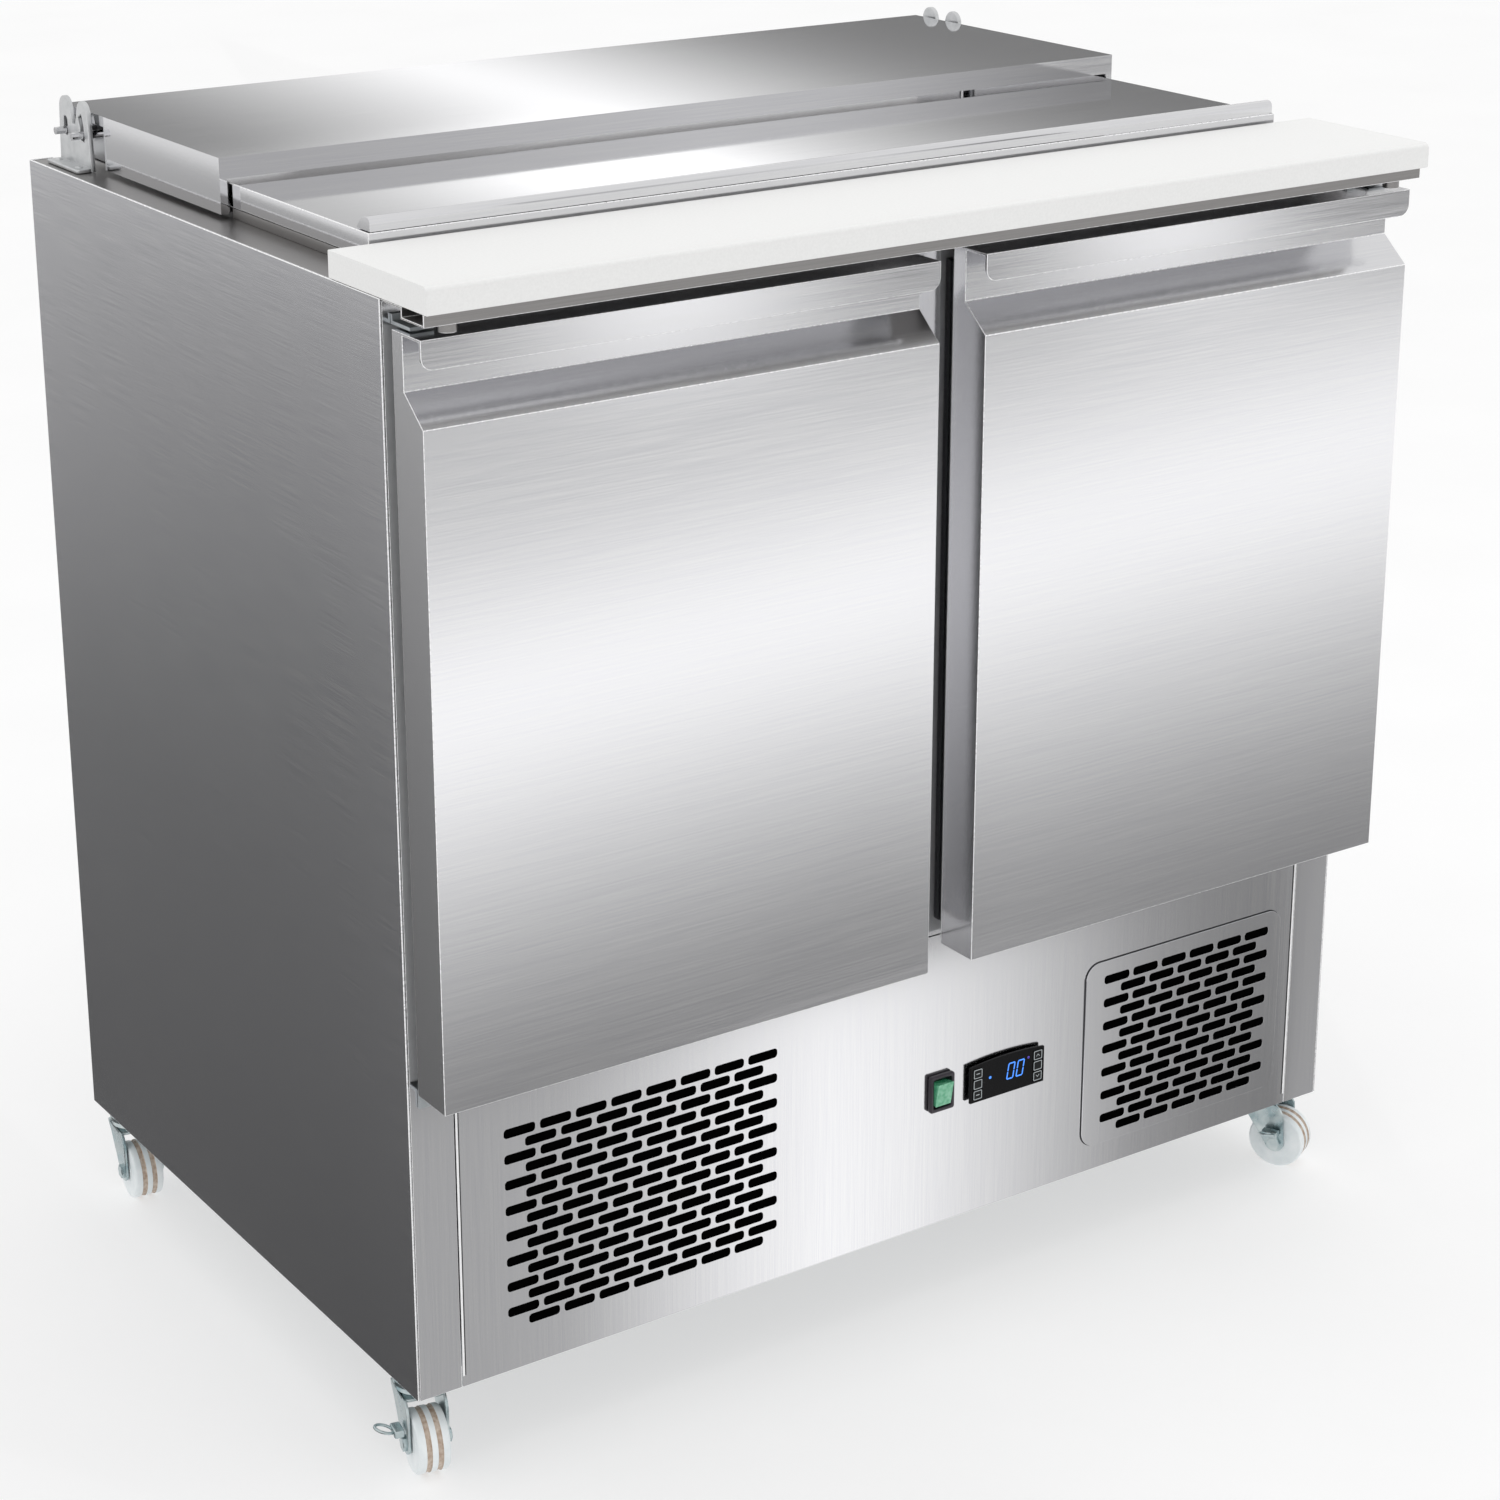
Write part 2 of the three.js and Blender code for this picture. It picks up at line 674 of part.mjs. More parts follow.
// open rectangular tub narrowing downwards by `draft` on every side
function frustum(x0, x1, y0, y1, topLevel, depth, draft) {
  const geometry = new THREE.BoxGeometry(x1 - x0, y1 - y0, depth);
  const position = geometry.attributes.position;
  for (let i = 0; i < position.count; i += 1) {
    if (position.getZ(i) < 0) {
      position.setX(i, position.getX(i) - Math.sign(position.getX(i)) * draft);
      position.setY(i, position.getY(i) - Math.sign(position.getY(i)) * draft);
    }
  }
  geometry.translate((x0 + x1) / 2, (y0 + y1) / 2, topLevel - depth / 2);
  return solid(geometry);
}

const coilHalf = 250;
const coilFrontY = wellRearY + 34;
const coilRearY = linerRearY - sheet - gap;
const coilBottomZ = baseZ + 540;
const coilTopZ = baseZ + 770;
const coilMargin = 30;
const coilEndX = 40;
const coilDepthFront = 20;
const coilDepthRear = 15;
const evaporatorFanX = 140;
const evaporatorFanY = coilFrontY + 22;
const evaporatorFanRadius = 62;

function evaporatorCover() {
  const shell = box(-coilHalf, coilHalf, coilFrontY, coilRearY, coilBottomZ, coilTopZ);
  const hollow = box(
    -coilHalf + sheet, coilHalf - sheet, coilFrontY + sheet, coilRearY + 1,
    coilBottomZ + sheet, coilTopZ - sheet,
  );
  const zMid = (coilBottomZ + coilTopZ) / 2;
  const fanClearance = 5;
  const outletHalf = 60;
  const outletEnd = 20;
  const fanHole = rodY(
    coilFrontY - 1, coilFrontY + 3, evaporatorFanX, zMid, evaporatorFanRadius + fanClearance, 24,
  );
  const outlet = box(
    -coilHalf + coilMargin, outletEnd, coilFrontY - 1, coilFrontY + 3, zMid - outletHalf, zMid + outletHalf,
  );
  return cut(shell, hollow, fanHole, outlet);
}

// finned block: a core with evenly spaced plates
function finnedBlock(x0, x1, y0, y1, z0, z1, fins) {
  const core = box(x0 + 2, x1 - 2, y0 + 5, y1 - 5, z0 + 4, z1 - 4);
  const plates = [];
  for (let i = 0; i <= fins; i += 1) {
    const x = x0 + ((x1 - x0 - 3) * i) / fins;
    plates.push(box(x, x + 3, y0, y1, z0, z1));
  }
  return wasm.Manifold.union([core, ...plates]);
}

function fanWheel(x, y, z, radius) {
  const hub = rodY(y - 8, y + 8, x, z, radius * 0.28, 12);
  const blades = [];
  const bladeCount = 5;
  for (let i = 0; i < bladeCount; i += 1) {
    const blade = box(-radius * 0.2, radius * 0.2, -1.5, 1.5, radius * 0.2, radius);
    const pitched = blade.rotate([0, 0, 28]).rotate([0, (360 * i) / bladeCount, 0]);
    blades.push(pitched.translate([x, y, z]));
  }
  return wasm.Manifold.union([hub, ...blades]);
}

const condenserHalf = 130;
const condenserZ0 = baseZ + 30;
const condenserZ1 = baseZ + 220;
const condenserY0 = frontY + 60;
const condenserY1 = frontY + 110;
const condenserFanX = -250;
const condenserFanY = frontY + 140;
const condenserZ = baseZ + 125;
const condenserFanRadius = 88;

// hermetic compressor: welded dome on a foot plate with four rubber-bushed feet
function compressor() {
  const r = 78;
  const x = 60;
  const y = frontY + 330;
  const footX = 92;
  const footY = 56;
  const footRadius = 11;
  const plateHalfX = footX + 13;
  const plateHalfY = footY + 14;
  const plateZ = baseZ + 11;
  const dome = lathe([
    [0, 0], [r * 0.8, 0], [r * 0.96, 12], [r, 40], [r, 78], [r * 1.06, 80], [r * 1.06, 86], [r, 88],
    [r * 0.97, 128], [r * 0.8, 156], [r * 0.45, 170], [0, 174],
  ], x, y, plateZ + 3);
  const plate = box(x - plateHalfX, x + plateHalfX, y - plateHalfY, y + plateHalfY, plateZ, plateZ + 4);
  const feet = [[-footX, -footY], [footX, -footY], [-footX, footY], [footX, footY]].map(([dx, dy]) => (
    rodZ(baseZ + 2 + gap, plateZ + 1, x + dx, y + dy, footRadius, 12)
  ));
  const motorRadius = 45;
  const motorTopZ = baseZ + 150;
  const motorSpace = rodZ(plateZ - 1, motorTopZ, x, y, motorRadius, 20);
  return cut(join(dome, plate, ...feet), motorSpace);
}

function powerInlet() {
  const block = (halfX, halfZ, y0, y1) => (
    box(inletAt.x - halfX, inletAt.x + halfX, y0, y1, inletAt.z - halfZ, inletAt.z + halfZ)
  );
  const bodyDepthInside = 28;
  const socketDepth = 16;
  const wallX = 3;
  const wallZ = 2.5;
  const yIn = rearY - 2 * sheet - 2 * gap;
  const flange = block(inletAt.flangeHalfX, inletAt.flangeHalfZ, rearY - sheet - gap + 0.1, rearY);
  const body = block(inletAt.bodyHalfX, inletAt.bodyHalfZ, yIn - bodyDepthInside, rearY - sheet);
  const socket = block(inletAt.bodyHalfX - wallX, inletAt.bodyHalfZ - wallZ, rearY - socketDepth, rearY + 1);
  return cut(join(flange, body), socket);
}

// ---------- top of the counter ----------
const channelBack = 28;
const channelFront = 58;
const channelDepth = 9;

// bent channel that carries the front of the cutting board
function boardChannel() {
  const y = (proud) => frontY - proud;
  const z1 = topZ - gap;
  const bottom = topZ - channelDepth;
  const profile = shapeFrom([
    [y(gap), z1], [y(gap), z1 - sheet], [y(channelBack - sheet), z1 - sheet], [y(channelBack - sheet), bottom],
    [y(channelFront), bottom], [y(channelFront), z1], [y(channelFront - sheet), z1],
    [y(channelFront - sheet), bottom + sheet], [y(channelBack), bottom + sheet], [y(channelBack), z1],
  ]);
  const half = halfWidth - sheet;
  const channel = alongX(profile, -half, half);
  const pegRadius = 6.5;
  const pegX = halfWidth - 24;
  const pegs = [-1, 1].map((side) => (
    rodZ(bottom - pegRadius, bottom + 0.5, side * pegX, y(channelFront - 9), pegRadius, 16)
  ));
  return join(channel, ...pegs);
}

function cuttingBoard() {
  const y0 = frontY - boardOverhang;
  const y1 = frontY + boardBack;
  const z0 = topZ + gap;
  const z1 = z0 + boardThickness - gap;
  const chamfer = 4;
  return alongX(shapeFrom([
    [y0, z0], [y1, z0], [y1, z1], [y0 + chamfer, z1], [y0 + chamfer * 0.3, z1 - chamfer * 0.3], [y0, z1 - chamfer],
  ]), -halfWidth, halfWidth);
}

// rear cover with side walls, a front flange and rails that carry the sliding lid
function hood() {
  const rear = hoodRearY;
  const front = hoodFrontY;
  const shell = box(-hoodHalf, hoodHalf, front, rear, hoodFloorZ, hoodTopZ);
  const inside = box(
    -hoodHalf + sheet, hoodHalf - sheet, front + sheet, rear - sheet, hoodFloorZ - 1, hoodTopZ - sheet,
  );
  const mouth = box(
    -hoodHalf + 6, hoodHalf - 6, front - 1, front + sheet + 1, hoodFloorZ - 1, hoodTopZ - hoodFrontDrop,
  );
  const notch = box(
    -hoodHalf - 1, -hoodHalf + 5, rear - notchLength, rear - 8, hoodFloorZ - 1, hoodTopZ - 8,
  );
  const railWidth = 16;
  const rail = box(
    -hoodHalf + 1, -hoodHalf + railWidth, front + 0.5, rear - notchLength - 2, hoodFloorZ + 1, hoodRailZ,
  );
  const web = box(
    -hoodHalf + 8, -hoodHalf + 10, rear - notchLength - 6, rear - 1, hoodFloorZ + 1, hoodTopZ - 1,
  );
  const pinReach = 16;
  const pins = [pivotY, pivotY - pinSpacing].map((y) => (
    rodX(-hoodHalf - pinReach, -hoodHalf + 9, y, pivotZ, pinRadius, 12)
  ));
  const leftExtras = join(rail, web, ...pins);
  const open = cut(shell, inside, mouth, notch, mirrorX(notch));
  const swingRadius = 13;
  const swingRoom = box(-hoodHalf - 1, hoodHalf + 1, pivotY, rear + 1, hoodFloorZ - 1, pivotZ - swingRadius);
  return cut(join(open, leftExtras, mirrorX(leftExtras)), swingRoom);
}

function frontLid() {
  const z1 = lidTopZ;
  const outside = box(-lidHalf, lidHalf, lidFrontY, lidRearY, z1 - lidFlange, z1);
  const inside = box(
    -lidHalf + sheet, lidHalf - sheet, lidFrontY + sheet, lidRearY - sheet, z1 - lidFlange - 1, z1 - sheet,
  );
  return cut(outside, inside);
}

// rolled grip along the front edge of the sliding lid
function lidHandle() {
  const y0 = lidFrontY + 1;
  const z0 = lidTopZ + gap;
  const depth = 19;
  const rise = 10;
  const grip = new THREE.Shape();
  grip.moveTo(y0, z0);
  grip.lineTo(y0 + depth, z0);
  grip.lineTo(y0 + depth, z0 + 1.5);
  grip.bezierCurveTo(y0 + depth * 0.6, z0 + rise, y0 + depth * 0.35, z0 + rise, y0 + 5, z0 + rise);
  grip.quadraticCurveTo(y0, z0 + rise, y0, z0 + rise - 5);
  return alongX(grip, -lidHalf + 2, lidHalf - 2, 6);
}

// hook plate standing beside the hood: the rear prong holds the pin the hood turns on,
// and a curved slot lets the front pin swing up out of the front prong
function hoodBracket() {
  const x1 = -hoodHalf - 3;
  const x0 = x1 - 4;
  const y1 = bracketRearY;
  const y0 = y1 - bracketLength;
  const top = hoodTopZ + 9;
  const prong = 13;
  const profile = new THREE.Shape();
  profile.moveTo(y0, topZ);
  profile.lineTo(y1, topZ);
  profile.lineTo(y1, top - prong);
  profile.absarc(y1 - prong, top - prong, prong, 0, Math.PI, false);
  profile.lineTo(y1 - bracketLength / 2, top - 2 * prong);
  profile.lineTo(y0 + 2 * prong, top - prong);
  profile.absarc(y0 + prong, top - prong, prong, 0, Math.PI, false);
  const plate = alongX(profile, x0, x1, 5);
  const slack = 1;
  const half = pinRadius + slack;
  const pivotSlot = box(x0 - 1, x1 + 1, pivotY - half, pivotY + half, pivotZ - half, pivotZ + 12);
  const band = [];
  const steps = 7;
  const turn = (radius, step) => {
    const angle = -0.14 + (step / steps) * 1.5;
    return [pivotY - radius * Math.cos(angle), pivotZ + radius * Math.sin(angle)];
  };
  for (let step = 0; step <= steps; step += 1) {
    band.push(turn(pinSpacing + half, step));
  }
  for (let step = steps; step >= 0; step -= 1) {
    band.push(turn(pinSpacing - half, step));
  }
  const swingSlot = alongX(shapeFrom(band), x0 - 1, x1 + 1);
  const foot = box(x0 - 12, x0 + 1, y0, y1, topZ, topZ + 3);
  return join(cut(plate, pivotSlot, swingSlot), foot);
}

// ---------- castors ----------
function castorFork() {
  const half = wheelHalf + 4;
  const thick = 2.5;
  const stem = rodZ(crownZ - 1, baseZ - gap, 0, 0, 8, 16);
  const race = rodZ(baseZ - 9, baseZ - gap, 0, 0, 19, 20);
  const crown = box(-half, half, -trail, 17, crownZ - thick, crownZ);
  const cheek = alongX(shapeFrom([
    [-trail - 9, wheelRadius - 3], [-trail - 4, wheelRadius - 9], [-trail + 5, wheelRadius - 9],
    [-trail + 10, wheelRadius - 3], [17, crownZ - thick], [17, crownZ], [-trail, crownZ],
    [-trail - 6, crownZ - thick - 4],
  ]), -half, -half + thick);
  const axle = rodX(-half - 3, half + 3, -trail, wheelRadius, 4, 12);
  return join(stem, race, crown, cheek, mirrorX(cheek), axle);
}

function castorWheel() {
  const side = 4.5;
  const recess = wheelRadius - 8;
  const tyre = rodX(-wheelHalf, wheelHalf, -trail, wheelRadius, wheelRadius, 28);
  const leftDish = rodX(-wheelHalf - 1, -wheelHalf + side, -trail, wheelRadius, recess, 20);
  const rightDish = rodX(wheelHalf - side, wheelHalf + 1, -trail, wheelRadius, recess, 20);
  const hub = rodX(-wheelHalf, wheelHalf, -trail, wheelRadius, 8, 16);
  const bore = rodX(-wheelHalf - 2, wheelHalf + 2, -trail, wheelRadius, 4.4, 12);
  return cut(join(cut(tyre, leftDish, rightDish), hub), bore);
}

// pedal hinged on the outside of a fork, pushed down to lock the wheel
function brakePedal() {
  const x0 = -wheelHalf - 4 - 1.2;
  const reach = 22;
  const half = 8;
  const pivotHeight = wheelRadius + 11;
  const tab = alongY(shapeFrom([
    [x0, pivotHeight - 3], [x0, pivotHeight + 3], [x0 - 6, pivotHeight + 3], [x0 - reach, pivotHeight + 8],
    [x0 - reach, pivotHeight + 5], [x0 - 6, pivotHeight - 3],
  ]), -trail + 2 - half, -trail + 2 + half);
  const loop = box(x0 - reach + 4, x0 - 9, -trail + 2 - half + 4, -trail + 2 + half - 4, 0, castorHeight);
  return cut(tab, loop);
}

// ---------- build ----------
addPair('side_panel', sidePanel(), steel);
add('back_panel', backPanel(), steel);
add('base_pan', basePan(), darkSteel);
add('front_frame', frontFrame(), steel);
add('inner_liner', innerLiner(), steel);
add('insulation', insulation(), foam);
add('top_frame', topFrame(), steel);
add('lower_panel', lowerPanel(), steel);
add('grille_right', grilleRight(), steel);
add('controller', controllerBody(), blackPlastic);
keyPlaces().forEach((place, index) => add(`controller_key_${index + 1}`, controllerKey(place), blackPlastic));
add('switch_bezel', switchBezel(), blackPlastic);
add('rocker', rocker(), greenPlastic);
addPair('door', doorSkin(), steel);
addPair('door_liner', doorLiner(), whitePlastic);
addPair('gasket', gasket(), rubber);
addPair('hinge_upper', hingeBracket(true), darkSteel);
addPair('hinge_lower', hingeBracket(false), darkSteel);
addPair('shelf', shelf(), zinc);
add('shelf_rail', shelfRail(), steel);
for (let i = 0; i < panCount; i += 1) {
  add(`food_pan_${i + 1}`, foodPan(i), steel);
}
const evaporatorZ = (coilBottomZ + coilTopZ) / 2;
add('evaporator_cover', evaporatorCover(), whitePlastic);
add('evaporator_coil', finnedBlock(
  -coilHalf + coilMargin, coilEndX, coilFrontY + coilDepthFront, coilRearY - coilDepthRear,
  coilBottomZ + coilMargin, coilTopZ - coilMargin, 9,
), aluminium);
add('evaporator_fan', fanWheel(evaporatorFanX, evaporatorFanY, evaporatorZ, evaporatorFanRadius), blackPlastic);
add('condenser', finnedBlock(
  condenserFanX - condenserHalf, condenserFanX + condenserHalf, condenserY0, condenserY1,
  condenserZ0, condenserZ1, 12,
), aluminium);
add('condenser_fan', fanWheel(condenserFanX, condenserFanY, condenserZ, condenserFanRadius), blackPlastic);
add('compressor', compressor(), blackEnamel);
add('power_inlet', powerInlet(), blackPlastic);
add('board_channel', boardChannel(), steel);
add('cutting_board', cuttingBoard(), whitePlastic);
add('hood', hood(), steel);
add('front_lid', frontLid(), steel);
add('lid_handle', lidHandle(), zinc);
addPair('hood_bracket', hoodBracket(), zinc);

for (const castor of castors) {
  const place = (part) => part.rotate([0, 0, castor.yaw]).translate([castor.x, castor.y, 0]);
  add(`castor_fork_${castor.name}`, place(castorFork()), zinc);
  add(`castor_wheel_${castor.name}`, place(castorWheel()), nylon);
  if (castor.braked) {
    add(`brake_pedal_${castor.name}`, place(brakePedal()), zinc);
  }
}

export default table;
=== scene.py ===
"""The look of a two-door sandwich prep table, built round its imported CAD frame. Metres, +Z up."""
import json
import math

import bpy
from mathutils import Matrix, Vector


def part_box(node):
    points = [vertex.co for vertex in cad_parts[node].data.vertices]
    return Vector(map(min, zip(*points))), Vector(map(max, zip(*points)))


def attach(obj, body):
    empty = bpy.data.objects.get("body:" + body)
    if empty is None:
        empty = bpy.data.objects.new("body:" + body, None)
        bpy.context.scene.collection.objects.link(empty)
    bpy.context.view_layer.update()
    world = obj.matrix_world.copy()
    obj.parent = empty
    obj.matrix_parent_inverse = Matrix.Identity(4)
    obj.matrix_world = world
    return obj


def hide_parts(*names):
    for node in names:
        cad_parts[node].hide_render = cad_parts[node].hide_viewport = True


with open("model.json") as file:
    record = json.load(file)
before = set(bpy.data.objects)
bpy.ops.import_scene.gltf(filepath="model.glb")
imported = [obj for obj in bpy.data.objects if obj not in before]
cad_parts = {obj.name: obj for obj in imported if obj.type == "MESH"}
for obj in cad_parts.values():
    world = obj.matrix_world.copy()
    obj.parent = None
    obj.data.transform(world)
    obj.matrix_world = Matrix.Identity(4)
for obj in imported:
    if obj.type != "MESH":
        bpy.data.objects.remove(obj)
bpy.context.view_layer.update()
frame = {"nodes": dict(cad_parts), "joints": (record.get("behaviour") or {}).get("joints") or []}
joints = {joint["name"]: joint for joint in frame["joints"]}
nodes = frame["nodes"]

MM = 0.001
EYE = Vector((-1.451, -2.1725, 1.410))
HAIRLINE = 0.05 * MM    # rounding of the thinnest pieces, such as printed marks
AXIS = 0.1 * MM         # radius at which a turned profile meets its axis


# ---------- camera ----------
def make_camera():
    camera = bpy.data.cameras.new("camera")
    camera.sensor_width = 36
    camera.lens = 79.6
    camera.shift_y = -0.1
    camera.dof.use_dof = False
    holder = bpy.data.objects.new("camera", camera)
    holder.location = EYE
    azimuth, elevation = math.radians(-34.19), math.radians(18.33)
    holder.rotation_euler = (math.pi / 2 - elevation, 0, azimuth)
    bpy.context.scene.collection.objects.link(holder)
    bpy.context.scene.camera = holder


# ---------- colours and materials ----------
def linear(code):
    """A colour written as sRGB hex, as linear red, green, blue and alpha."""
    parts = [int(code[i:i + 2], 16) / 255 for i in (0, 2, 4)]
    return [c / 12.92 if c <= 0.04045 else ((c + 0.055) / 1.055) ** 2.4 for c in parts] + [1]


def new_material(name):
    material = bpy.data.materials.new(name)
    material.use_nodes = True
    tree = material.node_tree
    return material, tree, tree.nodes["Principled BSDF"]


def grain(tree, scale, detail=3):
    """Noise in object space, with its own stretch along each axis."""
    coords = tree.nodes.new("ShaderNodeTexCoord")
    mapping = tree.nodes.new("ShaderNodeMapping")
    mapping.inputs["Scale"].default_value = scale
    noise = tree.nodes.new("ShaderNodeTexNoise")
    noise.inputs["Scale"].default_value = 1
    noise.inputs["Detail"].default_value = detail
    tree.links.new(coords.outputs["Object"], mapping.inputs["Vector"])
    tree.links.new(mapping.outputs["Vector"], noise.inputs["Vector"])
    return noise.outputs["Fac"]


def spread(tree, value, low, high):
    """Takes noise, which stays mostly between 0.3 and 0.7, to the range low to high."""
    fit = tree.nodes.new("ShaderNodeMapRange")
    fit.inputs["From Min"].default_value = 0.3
    fit.inputs["From Max"].default_value = 0.7
    fit.inputs["To Min"].default_value = low
    fit.inputs["To Max"].default_value = high
    tree.links.new(value, fit.inputs["Value"])
    return fit.outputs["Result"]


def tint(tree, value, first, second):
    mix = tree.nodes.new("ShaderNodeMix")
    mix.data_type = "RGBA"
    mix.inputs["A"].default_value = first
    mix.inputs["B"].default_value = second
    tree.links.new(spread(tree, value, 0, 1), mix.inputs["Factor"])
    return mix.outputs["Result"]


def surface(name, first, second, metallic, roughness, scale, bump=0.0, bump_depth=0.0001):
    """A material whose colour, roughness and height follow one grain."""
    material, tree, shader = new_material(name)
    shader.inputs["Metallic"].default_value = metallic
    noise = grain(tree, scale)
    tree.links.new(tint(tree, noise, linear(first), linear(second)), shader.inputs["Base Color"])
    tree.links.new(spread(tree, noise, *roughness), shader.inputs["Roughness"])
    if bump:
        height = tree.nodes.new("ShaderNodeBump")
        height.inputs["Strength"].default_value = bump
        height.inputs["Distance"].default_value = bump_depth
        tree.links.new(noise, height.inputs["Height"])
        tree.links.new(height.outputs["Normal"], shader.inputs["Normal"])
    return material


def glowing(name, code, strength):
    material = surface(name, code, code, 0, (0.3, 0.4), (300, 300, 300))
    shader = material.node_tree.nodes["Principled BSDF"]
    shader.inputs["Emission Color"].default_value = linear(code)
    shader.inputs["Emission Strength"].default_value = strength
    return material


# brushed along x, along z and along y: the grain is fine across the brushing and long along it
BRUSHED_X = (14, 1400, 1400)
BRUSHED_Z = (1400, 1400, 14)
BRUSHED_Y = (1400, 14, 1400)
EVEN = (260, 260, 260)

steel_x = surface("steel_brushed_x", "d7d7da", "dededf", 1, (0.13, 0.17), BRUSHED_X, 0.014)
steel_z = surface("steel_brushed_z", "d7d7da", "dededf", 1, (0.13, 0.17), BRUSHED_Z, 0.014)
steel_y = surface("steel_brushed_y", "d0d0d4", "d8d8da", 1, (0.13, 0.17), BRUSHED_Y, 0.03)
steel_top = surface("steel_brushed_top", "d7d7da", "dededf", 1, (0.055, 0.075), BRUSHED_X, 0.012)
steel_inner = surface("steel_inner", "c4c6c9", "cdcfd1", 1, (0.28, 0.36), BRUSHED_Z, 0.06)
# near-white steel for the rounded folds: a painted highlight along the sheet edges, on top of the real light
# the rounding catches
fold_painted_highlight = surface("fold_painted_highlight", "f8f8fa", "fdfdfd", 0.45, (0.24, 0.32), EVEN)
# near-white satin for the bead at the lower panel's folds: painted highlight
edge_painted_highlight = surface("edge_painted_highlight", "f6f6f7", "fcfcfc", 0.1, (0.3, 0.4), EVEN)
steel_shaded = surface("steel_shaded", "8b8988", "959392", 1, (0.3, 0.4), BRUSHED_X, 0.05)
galvanised = surface("galvanised", "a8adb0", "b9bec0", 1, (0.34, 0.5), (60, 60, 60), 0.1)
zinc = surface("zinc_plate", "94a9ae", "d3dbdb", 1, (0.2, 0.38), (70, 70, 70), 0.12)
bracket_zinc = surface("bracket_zinc", "c3c5c6", "d6d7d8", 1, (0.28, 0.4), (120, 120, 120), 0.08)
board_white = surface("board_polyethylene", "e6e6e5", "ebebea", 0, (0.5, 0.6), (500, 500, 500), 0.15)
liner_white = surface("liner_plastic", "e6e7e6", "edeeed", 0, (0.35, 0.45), (160, 160, 160), 0.05)
black_gloss = surface("black_gloss", "030304", "070709", 0, (0.22, 0.3), EVEN)
black_gloss.node_tree.nodes["Principled BSDF"].inputs["Specular IOR Level"].default_value = 0.12
black_satin = surface("black_satin", "141518", "1c1d20", 0, (0.35, 0.45), (400, 400, 400), 0.1)
bezel_dark = surface("bezel_plastic", "241e26", "2c2530", 0, (0.28, 0.36), (500, 500, 500), 0.1)
key_grey = surface("key_plastic", "0b0d0e", "141718", 0, (0.4, 0.5), (500, 500, 500), 0.08)
key_grey.node_tree.nodes["Principled BSDF"].inputs["Specular IOR Level"].default_value = 0.2
key_line = surface("key_print", "a9b0b3", "bcc2c4", 0, (0.4, 0.5), EVEN)
rubber = surface("gasket_rubber", "2c2d30", "3a3b3e", 0, (0.6, 0.75), (220, 220, 220), 0.15)
foam = surface("foam", "d9c98e", "e8dba8", 0, (0.85, 0.95), (90, 90, 90), 0.4, 0.0006)
fins_metal = surface("fins_aluminium", "b9bfc3", "d0d5d7", 1, (0.3, 0.45), (40, 40, 900), 0.1)
enamel = surface("black_enamel", "101113", "191a1d", 0, (0.22, 0.34), (70, 70, 70), 0.06)
nylon_white = surface("nylon_white", "dfe6e8", "eef2f3", 0, (0.35, 0.5), (70, 70, 70), 0.06)
nylon_worn = surface("nylon_worn", "a58d7a", "cfc2b4", 0, (0.5, 0.65), (260, 260, 260), 0.3)
# black with no sheen: painted shadow for the sheets behind the slots
slot_painted_shadow = surface("slot_shadow", "020202", "050505", 0, (0.8, 0.9), EVEN)
slot_painted_shadow.node_tree.nodes["Principled BSDF"].inputs["Specular IOR Level"].default_value = 0
display_blue = glowing("display_blue", "3c82ea", 0.85)
display_violet = glowing("display_violet", "5a45c0", 0.8)

green_lens = surface("green_lens", "2d9a6c", "8fcfae", 0, (0.08, 0.18), (210, 210, 210), 0.15)
lens_shader = green_lens.node_tree.nodes["Principled BSDF"]
lens_shader.inputs["Transmission Weight"].default_value = 0.25
lens_shader.inputs["Coat Weight"].default_value = 0.6
lens_shader.inputs["Emission Color"].default_value = linear("37b883")
lens_shader.inputs["Emission Strength"].default_value = 0.08


# ---------- mesh making ----------
TO_PLANE = {
    "x": Matrix(((0, 0, 1, 0), (1, 0, 0, 0), (0, 1, 0, 0), (0, 0, 0, 1))),
    "y": Matrix(((1, 0, 0, 0), (0, 0, -1, 0), (0, 1, 0, 0), (0, 0, 0, 1))),
    "z": Matrix.Identity(4),
}


def mesh_of_curve(curve):
    holder = bpy.data.objects.new("curve", curve)
    bpy.context.scene.collection.objects.link(holder)
    graph = bpy.context.evaluated_depsgraph_get()
    mesh = bpy.data.meshes.new_from_object(holder.evaluated_get(graph))
    bpy.data.objects.remove(holder)
    bpy.data.curves.remove(curve)
    return mesh


def add_loop(curve, points, closed=True):
    spline = curve.splines.new("POLY")
    spline.points.add(len(points) - 1)
    for target, point in zip(spline.points, points):
        target.co = (*point, 0, 1) if len(point) == 2 else (*point, 1)
    spline.use_cyclic_u = closed


def plate(outer, holes, low, high, plane, round_off=0.0004):
    """A flat piece from an outline and its holes, between low and high on the plane's own axis."""
    curve = bpy.data.curves.new("plate", "CURVE")
    curve.dimensions = "2D"
    curve.fill_mode = "BOTH"
    curve.extrude = (high - low) / 2 - round_off
    curve.bevel_depth = round_off
    curve.bevel_resolution = 2
    curve.offset = -round_off
    add_loop(curve, outer)
    for hole in holes:
        add_loop(curve, list(reversed(hole)))
    mesh = mesh_of_curve(curve)
    middle = (high + low) / 2
    mesh.transform(TO_PLANE[plane])
    mesh.transform(Matrix.Translation({"x": (middle, 0, 0), "y": (0, middle, 0), "z": (0, 0, middle)}[plane]))
    return mesh


def tube(points, radius, closed=False, sides=4):
    curve = bpy.data.curves.new("tube", "CURVE")
    curve.dimensions = "3D"
    curve.bevel_depth = radius
    curve.bevel_resolution = sides
    curve.use_fill_caps = True
    add_loop(curve, points, closed)
    return mesh_of_curve(curve)


def arc(centre, radius, start, end, steps=6):
    """Points of an arc; start and end in degrees."""
    turns = [math.radians(start + (end - start) * i / steps) for i in range(steps + 1)]
    return [(centre[0] + radius * math.cos(a), centre[1] + radius * math.sin(a)) for a in turns]


